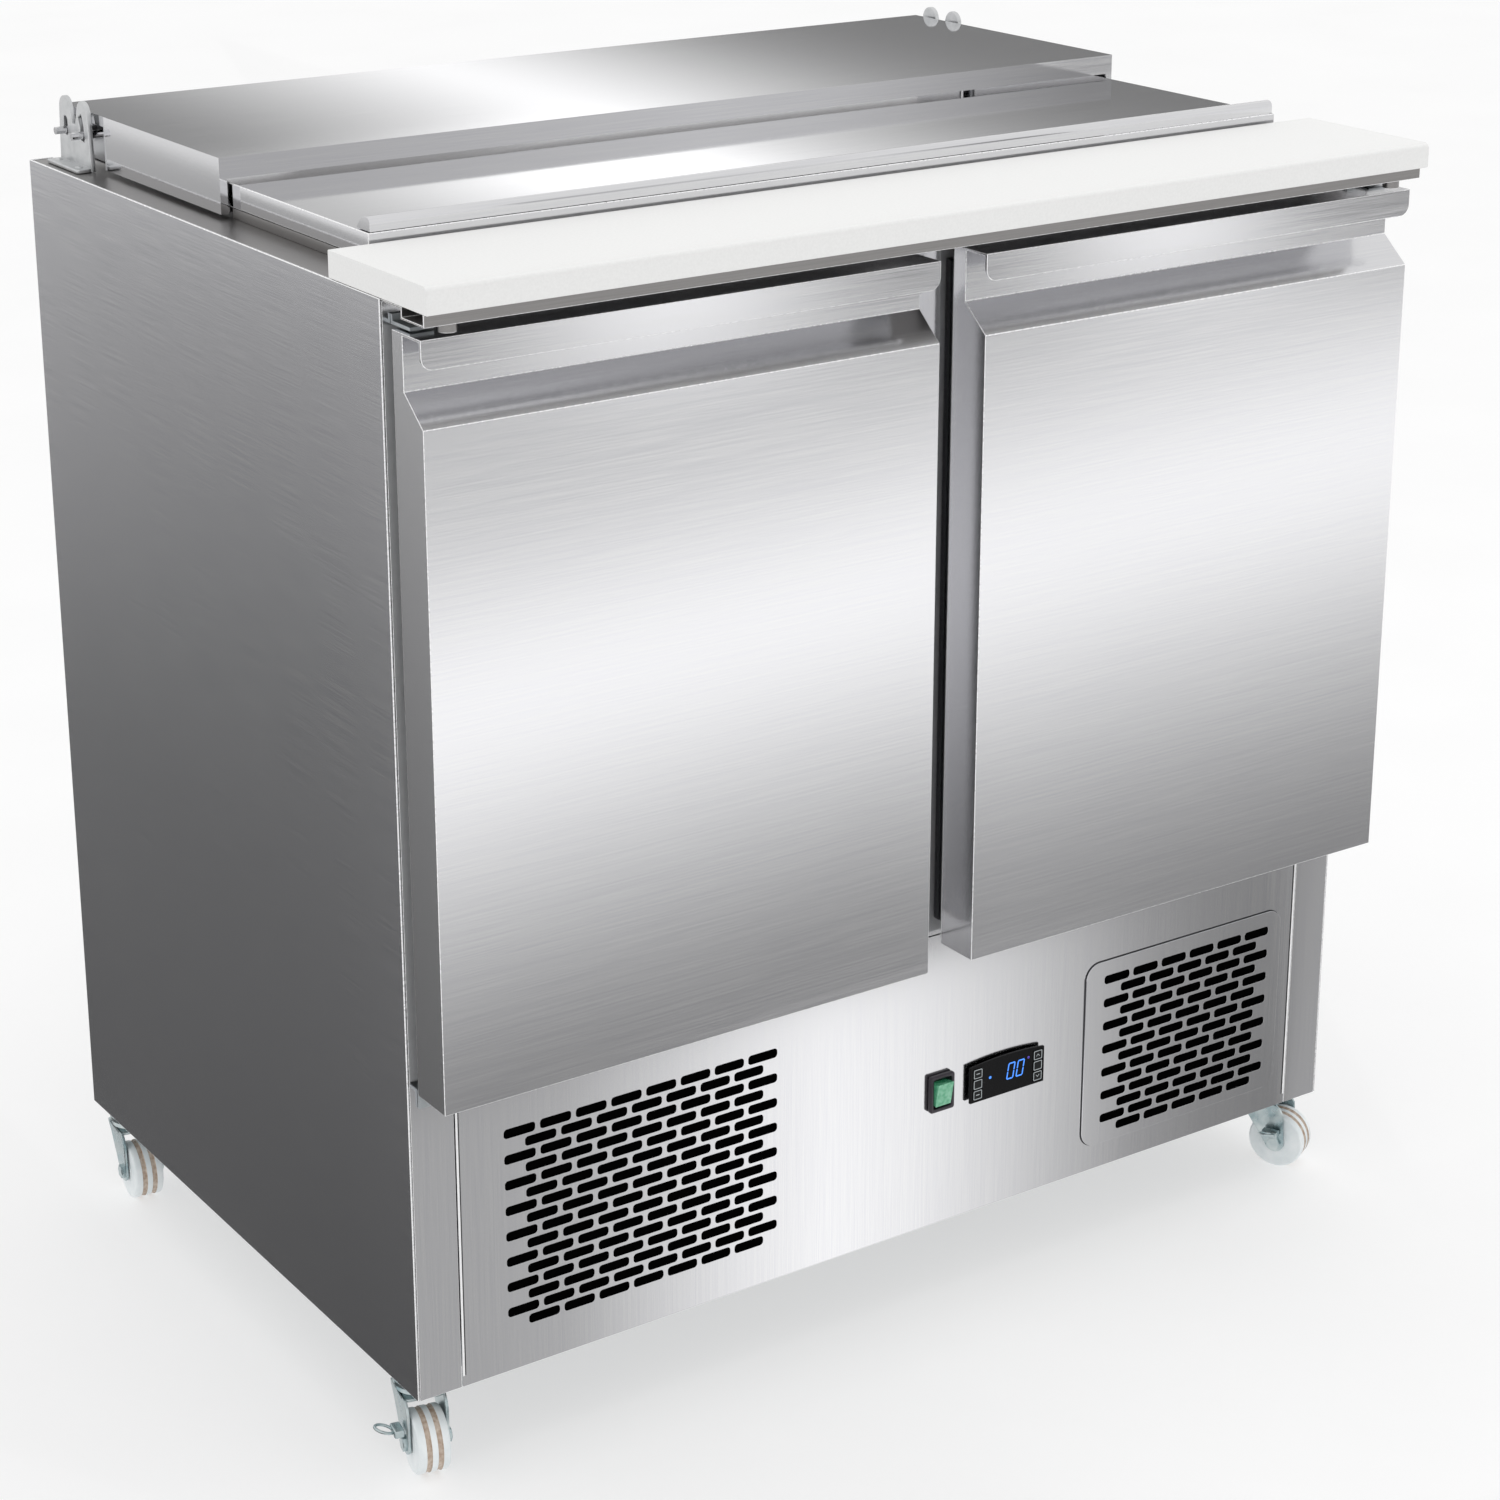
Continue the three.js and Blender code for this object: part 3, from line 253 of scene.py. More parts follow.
def rounded(x0, x1, y0, y1, radius, steps=6):
    return (
        arc((x1 - radius, y0 + radius), radius, -90, 0, steps)
        + arc((x1 - radius, y1 - radius), radius, 0, 90, steps)
        + arc((x0 + radius, y1 - radius), radius, 90, 180, steps)
        + arc((x0 + radius, y0 + radius), radius, 180, 270, steps)
    )


def facing(low, high, inset, radius, steps=6):
    """Rounded outline of a box seen from the front, set in by inset on every side."""
    return rounded(low.x + inset, high.x - inset, low.z + inset, high.z - inset, radius, steps)


def join_meshes(name, meshes):
    """One mesh out of several; each mesh keeps its own material slots."""
    holders = []
    for mesh in meshes:
        holder = bpy.data.objects.new(name, mesh)
        bpy.context.scene.collection.objects.link(holder)
        holders.append(holder)
    with bpy.context.temp_override(
        active_object=holders[0], selected_editable_objects=holders, object=holders[0],
    ):
        bpy.ops.object.join()
    joined = holders[0].data
    bpy.data.objects.remove(holders[0])
    return joined


def dressed(mesh, material):
    mesh.materials.clear()
    mesh.materials.append(material)
    return mesh


def ring_mesh(rings, closed_ends=True, turn_closed=True):
    """A skin over rings of points, one ring after another."""
    count = len(rings[0])
    points = [point for ring in rings for point in ring]
    faces = []
    for level in range(len(rings) - 1):
        for i in range(count if turn_closed else count - 1):
            j = (i + 1) % count
            a, b = level * count, (level + 1) * count
            faces.append((a + i, a + j, b + j, b + i))
    if closed_ends:
        faces.append(tuple(reversed(range(count))))
        faces.append(tuple(range(len(points) - count, len(points))))
    mesh = bpy.data.meshes.new("rings")
    mesh.from_pydata(points, [], faces)
    mesh.validate()
    return mesh


def lathe(profile, axis="x", steps=48):
    """A profile of (distance along the axis, radius), turned about the axis through the origin."""
    rings = []
    for along, radius in profile:
        ring = []
        for i in range(steps):
            a = 2 * math.pi * i / steps
            c, s = radius * math.cos(a), radius * math.sin(a)
            ring.append({"x": (along, c, s), "y": (s, along, c), "z": (c, s, along)}[axis])
        rings.append(ring)
    return ring_mesh(rings)


def piece(name, mesh, body, stands_for=(), smooth=35, material=None):
    if material:
        dressed(mesh, material)
    obj = bpy.data.objects.new(name, mesh)
    bpy.context.scene.collection.objects.link(obj)
    mesh.shade_smooth()
    mesh.set_sharp_from_angle(angle=math.radians(smooth))
    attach(obj, body)
    if stands_for:
        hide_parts(*stands_for)
    return obj


def dress_cad(name, material, fold=0.0, edge=None, segments=2):
    """Gives a CAD node its material, and rounds its folds so that they catch the light; a brighter edge
    material, where given, paints a highlight on the rounded folds.
    """
    obj = nodes[name]
    obj.data.materials.clear()
    obj.data.materials.append(material)
    if fold:
        obj.data.materials.append(edge or material)
        weld = obj.modifiers.new("weld", "WELD")
        weld.merge_threshold = 0.00001
        merge = obj.modifiers.new("merge", "DECIMATE")
        merge.decimate_type = "DISSOLVE"
        merge.angle_limit = math.radians(1)
        bevel = obj.modifiers.new("fold", "BEVEL")
        bevel.width = fold
        bevel.segments = segments
        bevel.limit_method = "ANGLE"
        bevel.angle_limit = math.radians(25)
        bevel.material = 1
        normals = obj.modifiers.new("normals", "WEIGHTED_NORMAL")
        normals.weight = 100
        normals.keep_sharp = False
    obj.data.shade_smooth()
    if not fold:
        obj.data.set_sharp_from_angle(angle=math.radians(25))


# ---------- steelwork kept from the CAD ----------
def dress_steelwork():
    for side in ("left", "right"):
        dress_cad(f"side_panel_{side}", steel_y, 0.0006, fold_painted_highlight)
        dress_cad(f"door_{side}", steel_x, 0.0011, fold_painted_highlight, 3)
        dress_cad(f"door_liner_{side}", liner_white)
        dress_cad(f"gasket_{side}", rubber, 0.0015, None, 3)
        dress_cad(f"hinge_upper_{side}", galvanised, 0.0005)
        dress_cad(f"hinge_lower_{side}", galvanised, 0.0005)
    dress_cad("front_frame", steel_z, 0.0003, fold_painted_highlight)
    dress_cad("top_frame", steel_shaded, 0.0006, fold_painted_highlight)
    dress_cad("back_panel", steel_inner, 0.0005)
    dress_cad("base_pan", galvanised, 0.0006)
    dress_cad("inner_liner", steel_inner, 0.0003)
    dress_cad("insulation", foam)
    dress_cad("board_channel", steel_shaded, 0.0004, fold_painted_highlight)
    dress_cad("cutting_board", board_white, 0.0007)
    dress_cad("hood", steel_top, 0.0007, fold_painted_highlight)
    dress_cad("front_lid", steel_top, 0.0007, fold_painted_highlight)
    dress_cad("shelf_rail", steel_inner, 0.0006)
    dress_cad("evaporator_cover", liner_white, 0.0006)
    dress_cad("evaporator_coil", fins_metal)
    dress_cad("condenser", fins_metal)
    dress_cad("power_inlet", black_satin, 0.0008)


# ---------- slotted front ----------
SLOT_LENGTH, SLOT_HEIGHT = 27 * MM, 7.8 * MM
SLOT_PITCH_X, SLOT_PITCH_Z, SLOT_STAGGER = 31 * MM, 10.6 * MM, 0.58
LEFT_FIELD = {"x": -250 * MM, "above_foot": 117.5 * MM, "count": 8, "rows": 16}
RIGHT_FIELD = {"shift": 2.5 * MM, "count": 6, "rows": 14}
GRILLE_CORNER = 14 * MM
CUTOUT_INSET = 2.5 * MM


def slot_outlines(centre_x, centre_z, count, rows):
    left = centre_x - (count - 1) * SLOT_PITCH_X / 2
    top = centre_z + (rows - 1) * SLOT_PITCH_Z / 2
    half, rise = SLOT_LENGTH / 2, SLOT_HEIGHT / 2
    outlines = []
    for row in range(rows):
        staggered = row % 2
        for i in range(count - staggered):
            x = left + (i + staggered * SLOT_STAGGER) * SLOT_PITCH_X
            z = top - row * SLOT_PITCH_Z
            outlines.append(rounded(x - half, x + half, z - rise, z + rise, rise * 0.72, 4))
    return outlines


def window(node, inset):
    low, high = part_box(node)
    return facing(low, high, inset, 1 * MM, 2)


def make_lower_panel():
    low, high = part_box("lower_panel")
    grille_low, grille_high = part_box("grille_right")
    outer = facing(low, high, 0, 0.6 * MM, 2)
    margin, rib = 12 * MM, 12 * MM
    mid_x = (grille_low.x + grille_high.x) / 2
    mid_z = (grille_low.z + grille_high.z) / 2
    holes = slot_outlines(
        LEFT_FIELD["x"], low.z + LEFT_FIELD["above_foot"], LEFT_FIELD["count"], LEFT_FIELD["rows"],
    )
    columns = ((grille_low.x + margin, mid_x - rib / 2), (mid_x + rib / 2, grille_high.x - margin))
    rows = ((grille_low.z + margin, mid_z - rib / 2), (mid_z + rib / 2, grille_high.z - margin))
    for x0, x1 in columns:
        for z0, z1 in rows:
            holes.append(rounded(x0, x1, z0, z1, 3 * MM, 3))
    case_low, case_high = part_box("controller")
    holes.append(rounded(
        case_low.x + CUTOUT_INSET, case_high.x - CUTOUT_INSET,
        case_low.z + CUTOUT_INSET, case_high.z - 2 * CUTOUT_INSET, 1 * MM, 2,
    ))
    holes.append(window("switch_bezel", CUTOUT_INSET))
    piece("front_panel", plate(outer, holes, low.y, high.y, "y", 0.12 * MM), "cabinet",
          ["lower_panel"], material=steel_z)


def make_grille():
    low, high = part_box("grille_right")
    outer = facing(low, high, 0, GRILLE_CORNER, 8)
    shift = RIGHT_FIELD["shift"]
    holes = slot_outlines(
        (low.x + high.x) / 2 + shift, (low.z + high.z) / 2 - shift, RIGHT_FIELD["count"], RIGHT_FIELD["rows"],
    )
    piece("grille_plate", plate(outer, holes, low.y, high.y, "y", 0.12 * MM), "cabinet",
          ["grille_right"], material=steel_z)
    # dark rubber seal behind the grille; its rim shows 0.7 mm past the grille's edge as a dark line, painted
    # shadow round the grille
    shadow, width = 0.7 * MM, 4 * MM
    rim = facing(low, high, -shadow, GRILLE_CORNER + shadow, 8)
    inner = facing(low, high, width, GRILLE_CORNER - width, 8)
    seal = plate(rim, [inner], high.y + 0.02 * MM, high.y + 0.34 * MM, "y", HAIRLINE)
    piece("grille_seal_and_shadow_line", seal, "cabinet", material=rubber)


def make_slot_painted_shadow():
    """Black sheets behind the slots: painted shadow, which makes them read as holes."""
    low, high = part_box("lower_panel")
    y = high.y + 0.3 * MM
    left = rounded(-390 * MM, -110 * MM, low.z + 20 * MM, low.z + 215 * MM, 4 * MM, 3)
    right = facing(*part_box("grille_right"), 6 * MM, 4 * MM, 3)
    for side, outline in (("left", left), ("right", right)):
        piece(f"painted_shadow_sheet_{side}", plate(outline, [], y, y + 2 * MM, "y"), "cabinet",
              material=slot_painted_shadow)
    veil = plate(right, [], low.y - 0.32 * MM, low.y - 0.08 * MM, "y", HAIRLINE)
    piece("painted_shadow_veil_right", veil, "cabinet", material=slot_painted_shadow)


# ---------- controller ----------
def crown_points(left, right, shoulder, rise, steps=16):
    """Shallow arch from the right shoulder over to the left one."""
    middle, half = (left + right) / 2, (right - left) / 2
    points = []
    for i in range(steps + 1):
        x = right - (right - left) * i / steps
        points.append((x, shoulder + rise * (1 - ((x - middle) / half) ** 2)))
    return points


def make_controller():
    low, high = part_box("controller")
    face_y, rise, inset = low.y, 2.5 * MM, 3 * MM
    outline = [(low.x, low.z), (high.x, low.z), *crown_points(low.x, high.x, high.z - rise, rise)]
    slack = 0.25 * MM
    pockets = []
    for number in range(1, 7):
        key_low, key_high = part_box(f"controller_key_{number}")
        pockets.append(rounded(key_low.x - slack, key_high.x + slack, key_low.z - slack, key_high.z + slack,
                               1.0 * MM, 4))
    key_back = key_high.y + 0.9 * MM
    case = plate(outline, pockets, face_y, key_back, "y", 0.12 * MM)
    rear = plate(rounded(low.x + inset, high.x - inset, low.z + inset, high.z - 2 * inset, 1.5 * MM, 3), [],
                 key_back - 0.05 * MM, high.y, "y")
    mesh = join_meshes("case", [dressed(case, black_gloss), dressed(rear, black_satin)])
    piece("controller_case", mesh, "cabinet", ["controller"])
    make_display(low, face_y)


def segment(x0, x1, z0, z1, tip):
    """One bar of a digit, with pointed ends."""
    if x1 - x0 > z1 - z0:
        mid = (z0 + z1) / 2
        return [(x0, mid), (x0 + tip, z0), (x1 - tip, z0), (x1, mid), (x1 - tip, z1), (x0 + tip, z1)]
    mid = (x0 + x1) / 2
    return [(mid, z0), (x1, z0 + tip), (x1, z1 - tip), (mid, z1), (x0, z1 - tip), (x0, z0 + tip)]


def make_display(low, face_y):
    digit_w, digit_h, bar = 7.4 * MM, 14.6 * MM, 1.15 * MM
    foot = low.z + 11.5 * MM
    y0, y1 = face_y - 0.12 * MM, face_y + 0.4 * MM
    bars = []
    for start in (low.x + 36.5 * MM, low.x + 46.2 * MM):
        x0, x1 = start, start + digit_w
        z0, z1 = foot, foot + digit_h
        middle = (z0 + z1) / 2
        shapes = [
            segment(x0 + bar * 0.4, x1 - bar * 0.4, z0, z0 + bar, bar / 2),
            segment(x0 + bar * 0.4, x1 - bar * 0.4, z1 - bar, z1, bar / 2),
        ]
        for x in (x0, x1 - bar):
            shapes.append(segment(x, x + bar, z0 + bar * 0.5, middle - bar * 0.1, bar / 2))
            shapes.append(segment(x, x + bar, middle + bar * 0.1, z1 - bar * 0.5, bar / 2))
        for shape in shapes:
            lean = [(x + (z - z0) * 0.16, z) for x, z in shape]
            bars.append(plate(lean, [], y0, y1, "y", HAIRLINE))
    piece("display_digits", join_meshes("digits", bars), "cabinet", material=display_blue)
    dot = arc((low.x + 20 * MM, low.z + 18.5 * MM), 1.25 * MM, 0, 345, 23)
    piece("display_dot", plate(dot, [], y0, y1, "y", HAIRLINE), "cabinet",
          material=display_blue)
    mark = (low.x + 59.5 * MM, foot + digit_h - 0.4 * MM)
    ring = plate(arc(mark, 1.0 * MM, 0, 345, 23), [arc(mark, 0.55 * MM, 0, 345, 23)], y0, y1, "y", HAIRLINE)
    piece("display_degree", ring, "cabinet", material=display_violet)


def make_keys():
    marks = {4: 1, 6: -1}
    for number in range(1, 7):
        low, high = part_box(f"controller_key_{number}")
        cap = plate(facing(low, high, 0, 1.0 * MM, 4), [], low.y + 0.1 * MM, high.y, "y", 0.3 * MM)
        inset, line = 0.3 * MM, 0.55 * MM
        border = plate(
            facing(low, high, inset, 0.9 * MM, 4), [facing(low, high, inset + line, 0.7 * MM, 4)],
            low.y, low.y + 0.3 * MM, "y", 0.04 * MM,
        )
        parts = [dressed(cap, key_grey), dressed(border, key_line)]
        mid_x, mid_z = (low.x + high.x) / 2, (low.z + high.z) / 2
        if number in marks:
            rise = marks[number] * 1.1 * MM
            outer, inner = 2 * MM, 1.4 * MM
            arrow = [
                (mid_x - outer, mid_z - rise), (mid_x, mid_z + rise), (mid_x + outer, mid_z - rise),
                (mid_x + inner, mid_z - rise), (mid_x, mid_z + rise * 0.4), (mid_x - inner, mid_z - rise),
            ]
            arrow = arrow if rise < 0 else list(reversed(arrow))
        else:
            half, rise = 1.8 * MM, 0.35 * MM
            arrow = rounded(mid_x - half, mid_x + half, mid_z - rise, mid_z + rise, 0.3 * MM, 3)
        if number not in (2, 5):
            parts.append(dressed(plate(arrow, [], low.y, low.y + 0.3 * MM, "y", 0.03 * MM), key_line))
        piece(f"key_cap_{number}", join_meshes("key", parts), f"key_{number}_body",
              [f"controller_key_{number}"])


# ---------- rocker switch ----------
def make_switch():
    low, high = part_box("switch_bezel")
    outer = facing(low, high, 0, 2 * MM, 5)
    frame_width = 3.2 * MM
    inner = facing(low, high, frame_width, 1.2 * MM, 4)
    rim = plate(outer, [inner], low.y, low.y + 4.6 * MM, "y", 1.2 * MM)
    shell = plate(facing(low, high, 2.6 * MM, 1 * MM, 3), [inner], low.y + 4 * MM, high.y, "y", 0.2 * MM)
    piece("switch_frame", join_meshes("switch", [rim, shell]), "cabinet", ["switch_bezel"],
          material=bezel_dark)
    low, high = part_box("rocker")
    grow = 1.3 * MM
    low, high = low - Vector((grow, 0, grow)), high + Vector((grow, 0, grow))
    height = high.z - low.z
    outline = [
        (high.y, low.z + 2.5 * MM), (low.y + 4.0 * MM, low.z), (low.y + 2.2 * MM, low.z + height * 0.46),
        (low.y + 1.9 * MM, low.z + height * 0.54), (low.y, high.z), (high.y, high.z - 2.5 * MM),
    ]
    piece("rocker_lens", plate(outline, [], low.x, high.x, "x", 0.5 * MM), "rocker_body",
          ["rocker"], material=green_lens)


# ---------- lid grip and hood brackets ----------
def make_lid_grip():
    low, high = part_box("lid_handle")
    depth, rise = high.y - low.y, high.z - low.z
    lip_share, full_at = 0.15, 0.72
    crown = []
    for i in range(10):
        t = i / 12
        swell = math.sin(min(t / full_at, 1) * math.pi / 2) ** 0.9
        crown.append((low.y + depth * (1 - t), low.z + rise * lip_share + (1 - lip_share) * rise * swell))
    nose_radius = 4.6 * MM
    nose = arc((low.y + nose_radius, high.z - nose_radius), nose_radius, 90, 180, 6)
    outline = [(low.y, low.z), (high.y, low.z), *crown, *nose]
    grip = plate(outline, [], low.x, high.x, "x", 0.3 * MM)
    piece("lid_grip", grip, "lid_body", ["lid_handle"], smooth=50, material=steel_top)


def make_lid_runners():
    """Strip on the worktop rim under each side of the lid, which closes the gap below it."""
    lid_low, lid_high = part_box("front_lid")
    rim_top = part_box("top_frame")[1].z
    end_gap, set_in, width, clear = 2 * MM, 0.5 * MM, 3 * MM, 0.5 * MM
    y0, y1 = lid_low.y + end_gap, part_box("hood")[0].y - end_gap
    for side, name in ((-1, "left"), (1, "right")):
        edge = side * lid_high.x
        x0, x1 = sorted((edge - side * set_in, edge - side * (set_in + width)))
        outline = [(x0, y0), (x1, y0), (x1, y1), (x0, y1)]
        strip = plate(outline, [], rim_top + 0.05 * MM, lid_low.z - clear, "z", 0.3 * MM)
        piece(f"lid_runner_{name}", strip, "cabinet", material=steel_shaded)


def make_brackets():
    pivot = Vector(joints["hood_hinge"]["pos_m"])
    spacing, slack = 32 * MM, 4 * MM            # distance between the hood's two pins, slot round a pin
    plate_inset, foot_width = 12 * MM, 12.5 * MM
    for side in (-1, 1):
        name = "hood_bracket_left" if side < 0 else "hood_bracket_right"
        low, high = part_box(name)
        y0, y1, base, top = low.y, high.y, low.z, high.z
        prong, prong_in = 10 * MM, 13 * MM
        valley = top - 20 * MM
        outline = [(y0, base), (y1, base)]
        outline += arc((y1 - prong_in, top - prong), prong, 0, 155, 12)
        outline += [((y0 + y1) / 2 + 3 * MM, valley), ((y0 + y1) / 2 - 3 * MM, valley)]
        outline += arc((y0 + prong_in, top - prong), prong, 25, 180, 12)
        rear_slot = rounded(pivot.y - slack, pivot.y + slack, pivot.z - slack, pivot.z + 11 * MM, 3.6 * MM, 6)
        angles = [-0.14 + 0.62 * i / 8 for i in range(9)]
        band = []
        for reach, turns in ((spacing + slack, angles), (spacing - slack, reversed(angles))):
            band += [(pivot.y - reach * math.cos(a), pivot.z + reach * math.sin(a)) for a in turns]
        plate_x = (low.x + plate_inset, high.x) if side < 0 else (low.x, high.x - plate_inset)
        hook = plate(outline, [rear_slot, list(reversed(band))], *plate_x, "x", 0.7 * MM)
        foot_x = (low.x, low.x + foot_width) if side < 0 else (high.x - foot_width, high.x)
        foot = plate(rounded(*foot_x, y0, y1, 2.5 * MM, 5), [], base, base + 3 * MM, "z", 0.5 * MM)
        screws = []
        for y in (y0 + 10 * MM, y1 - 10 * MM):
            head = lathe([
                (0, AXIS), (0, 3.2 * MM), (0.8 * MM, 3.0 * MM), (1.5 * MM, 1.6 * MM), (1.7 * MM, AXIS),
            ], "z", 24)
            head.transform(Matrix.Translation(((foot_x[0] + foot_x[1]) / 2, y, base + 2.8 * MM)))
            screws.append(head)
        bracket = join_meshes("bracket", [hook, foot, *screws])
        piece(name.replace("hood_", "hook_"), bracket, "cabinet", [name], material=bracket_zinc)


# ---------- pans, shelves and cold side ----------
def rounded_ring(x0, x1, y0, y1, radius, z, steps=7):
    return [(x, y, z) for x, y in rounded(x0, x1, y0, y1, radius, steps)]


def make_pans():
    rim, draft, thick = 14 * MM, 9 * MM, 1 * MM
    for number in range(1, 5):
        low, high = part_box(f"food_pan_{number}")
        x0, x1, y0, y1 = low.x, high.x, low.y, high.y
        top = high.z

        def ring(inset, z, radius):
            return rounded_ring(x0 + inset, x1 - inset, y0 + inset, y1 - inset, radius, z)
        step = 18 * MM
        rings = [
            ring(0, top - 1.0 * MM, 14 * MM), ring(0, top, 14 * MM), ring(rim + thick, top, 24 * MM),
            ring(rim + thick + 1 * MM, top - step, 26 * MM),
            ring(rim + thick + draft * 0.9, low.z + 14 * MM, 30 * MM),
            ring(rim + thick + draft + 4 * MM, low.z + 4 * MM, 30 * MM),
            ring(rim + thick + draft + 14 * MM, low.z + thick, 26 * MM),
            ring(rim + draft + 12 * MM, low.z, 27 * MM),
            ring(rim + draft + 3 * MM, low.z + 3 * MM, 31 * MM),
            ring(rim + draft * 0.9, low.z + 14 * MM, 31 * MM),
            ring(rim + 1 * MM, top - step, 27 * MM), ring(rim, top - 1.2 * MM, 25 * MM),
            ring(0, top - 1.0 * MM, 14 * MM),
        ]
        count = len(rings[0])
        mesh = ring_mesh(rings, closed_ends=False)
        points = [tuple(v.co) for v in mesh.vertices]
        faces = [tuple(p.vertices) for p in mesh.polygons]
        split = [face for face in faces if min(face) // count != 6]
        inner_floor = tuple(range(6 * count, 7 * count))
        outer_floor = tuple(reversed(range(7 * count, 8 * count)))
        mesh = bpy.data.meshes.new("pan")
        mesh.from_pydata(points, [], split + [inner_floor, outer_floor])
        mesh.validate()
        piece(f"gastro_pan_{number}", mesh, "cabinet", [f"food_pan_{number}"],
              material=steel_inner)


def make_shelves():
    wire = 2 * MM
    for side in ("left", "right"):
        low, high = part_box(f"shelf_{side}")
        z = (low.z + high.z) / 2
        x0, x1, y0, y1 = low.x + wire, high.x - wire, low.y + wire, high.y - wire
        corner = [(x, y, z) for x, y in rounded(x0, x1, y0, y1, 9 * MM, 5)]
        parts = [tube(corner, wire, True)]
        wires = 16
        for i in range(1, wires):
            x = x0 + (x1 - x0) * i / wires
            parts.append(tube([(x, y0, z + 0.3 * MM), (x, y1, z + 0.3 * MM)], 1.4 * MM))
        for share in (0.34, 0.67):
            y = y0 + (y1 - y0) * share
            parts.append(tube([(x0, y, z - 0.6 * MM), (x1, y, z - 0.6 * MM)], 1.4 * MM))
        piece(f"wire_shelf_{side}", join_meshes("shelf", parts), "cabinet", [f"shelf_{side}"],
              material=zinc)


def fan_mesh(centre, radius, depth):
    """Hub with five curved, twisted blades turning about the y axis."""
    hub = lathe([
        (-depth, AXIS), (-depth, radius * 0.20), (-depth * 0.7, radius * 0.27), (depth, radius * 0.27),
        (depth, AXIS),
    ], "y", 36)
    parts = [hub]
    blades, across, along = 5, 6, 8
    for blade in range(blades):
        base = 2 * math.pi * blade / blades
        rows = []
        for i in range(along + 1):
            r = radius * (0.24 + 0.74 * i / along)
            width = math.radians(46 - 8 * i / along)
            pitch = depth * (0.95 - 0.35 * i / along)
            sweep = 0.25 * (i / along) ** 2
            shares = [j / across - 0.5 for j in range(across + 1)]
            rows.append([(base + width * share + sweep, r, pitch * share * 2) for share in shares])
        skin = 0.6 * MM
        front = [[(r * math.sin(a), y - skin, r * math.cos(a)) for a, r, y in row] for row in rows]
        back = [[(r * math.sin(a), y + skin, r * math.cos(a)) for a, r, y in reversed(row)] for row in rows]
        parts.append(ring_mesh([f + b for f, b in zip(front, back)]))
    mesh = join_meshes("fan", parts)
    mesh.transform(Matrix.Translation(centre))
    return mesh


def make_fans():
    for name, radius in (("evaporator_fan", 62 * MM), ("condenser_fan", 88 * MM)):
        centre = Vector(joints[f"{name}_spin"]["pos_m"])
        wheel = fan_mesh(centre, radius * 0.97, 7 * MM)
        piece(f"{name}_wheel", wheel, f"{name}_body", [name], smooth=45,
              material=black_satin)


def make_fan_guard():
    centre = Vector(joints["evaporator_fan_spin"]["pos_m"])
    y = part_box("evaporator_cover")[0].y - 0.2 * MM
    parts = []
    for radius in (16, 30, 44, 58, 69):
        ring = [(x, y, z) for x, z in arc((centre.x, centre.z), radius * MM, 0, 352.5, 47)]
        parts.append(tube(ring, 0.9 * MM, True))
    for i in range(8):
        a = math.pi * i / 4
        c, s = math.cos(a), math.sin(a)
        ends = [(centre.x + r * c * MM, y, centre.z + r * s * MM) for r in (8, 72)]
        parts.append(tube(ends, 1.1 * MM))
    piece("fan_guard", join_meshes("guard", parts), "cabinet", material=zinc)


def make_compressor():
    low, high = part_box("compressor")
    x, y = (low.x + high.x) / 2, (low.y + high.y) / 2
    z, radius = low.z + 12 * MM, 78 * MM
    shell = [
        (0, AXIS), (0, radius * 0.80), (3 * MM, radius * 0.90), (14 * MM, radius * 0.97),
        (40 * MM, radius), (77 * MM, radius), (79 * MM, radius * 1.055), (86 * MM, radius * 1.055),
        (88 * MM, radius), (112 * MM, radius * 0.995), (134 * MM, radius * 0.93),
        (152 * MM, radius * 0.78), (166 * MM, radius * 0.5), (172 * MM, radius * 0.22), (173.5 * MM, AXIS),
    ]
    dome = lathe(shell, "z", 64)
    dome.transform(Matrix.Translation((x, y, z)))
    half_foot = 70 * MM
    foot_outline = rounded(low.x, high.x, y - half_foot, y + half_foot, 16 * MM, 6)
    foot = plate(foot_outline, [], z - 3 * MM, z + 1 * MM, "z")
    parts = [dressed(dome, enamel), dressed(foot, enamel)]
    for dx in (-92, 92):
        for dy in (-56, 56):
            bush = lathe([
                (0, AXIS), (0, 11 * MM), (3 * MM, 9.5 * MM), (6 * MM, 10.5 * MM), (9.3 * MM, 10 * MM),
                (9.3 * MM, AXIS),
            ], "z", 28)
            bush.transform(Matrix.Translation((x + dx * MM, y + dy * MM, low.z)))
            parts.append(dressed(bush, rubber))
    piece("compressor_dome", join_meshes("compressor", parts), "cabinet", ["compressor"])


# ---------- castors ----------
def castor_place(name):
    stem = Vector(joints[f"swivel_{name}"]["pos_m"])
    axle = joints[f"roll_{name}"]["axis"]
    return Matrix.Translation((stem.x, stem.y, 0)) @ Matrix.Rotation(math.atan2(axle[1], axle[0]), 4, "Z")


WHEEL_RADIUS, WHEEL_HALF, TRAIL = 25 * MM, 12.5 * MM, 18 * MM
CROWN_Z = 61 * MM


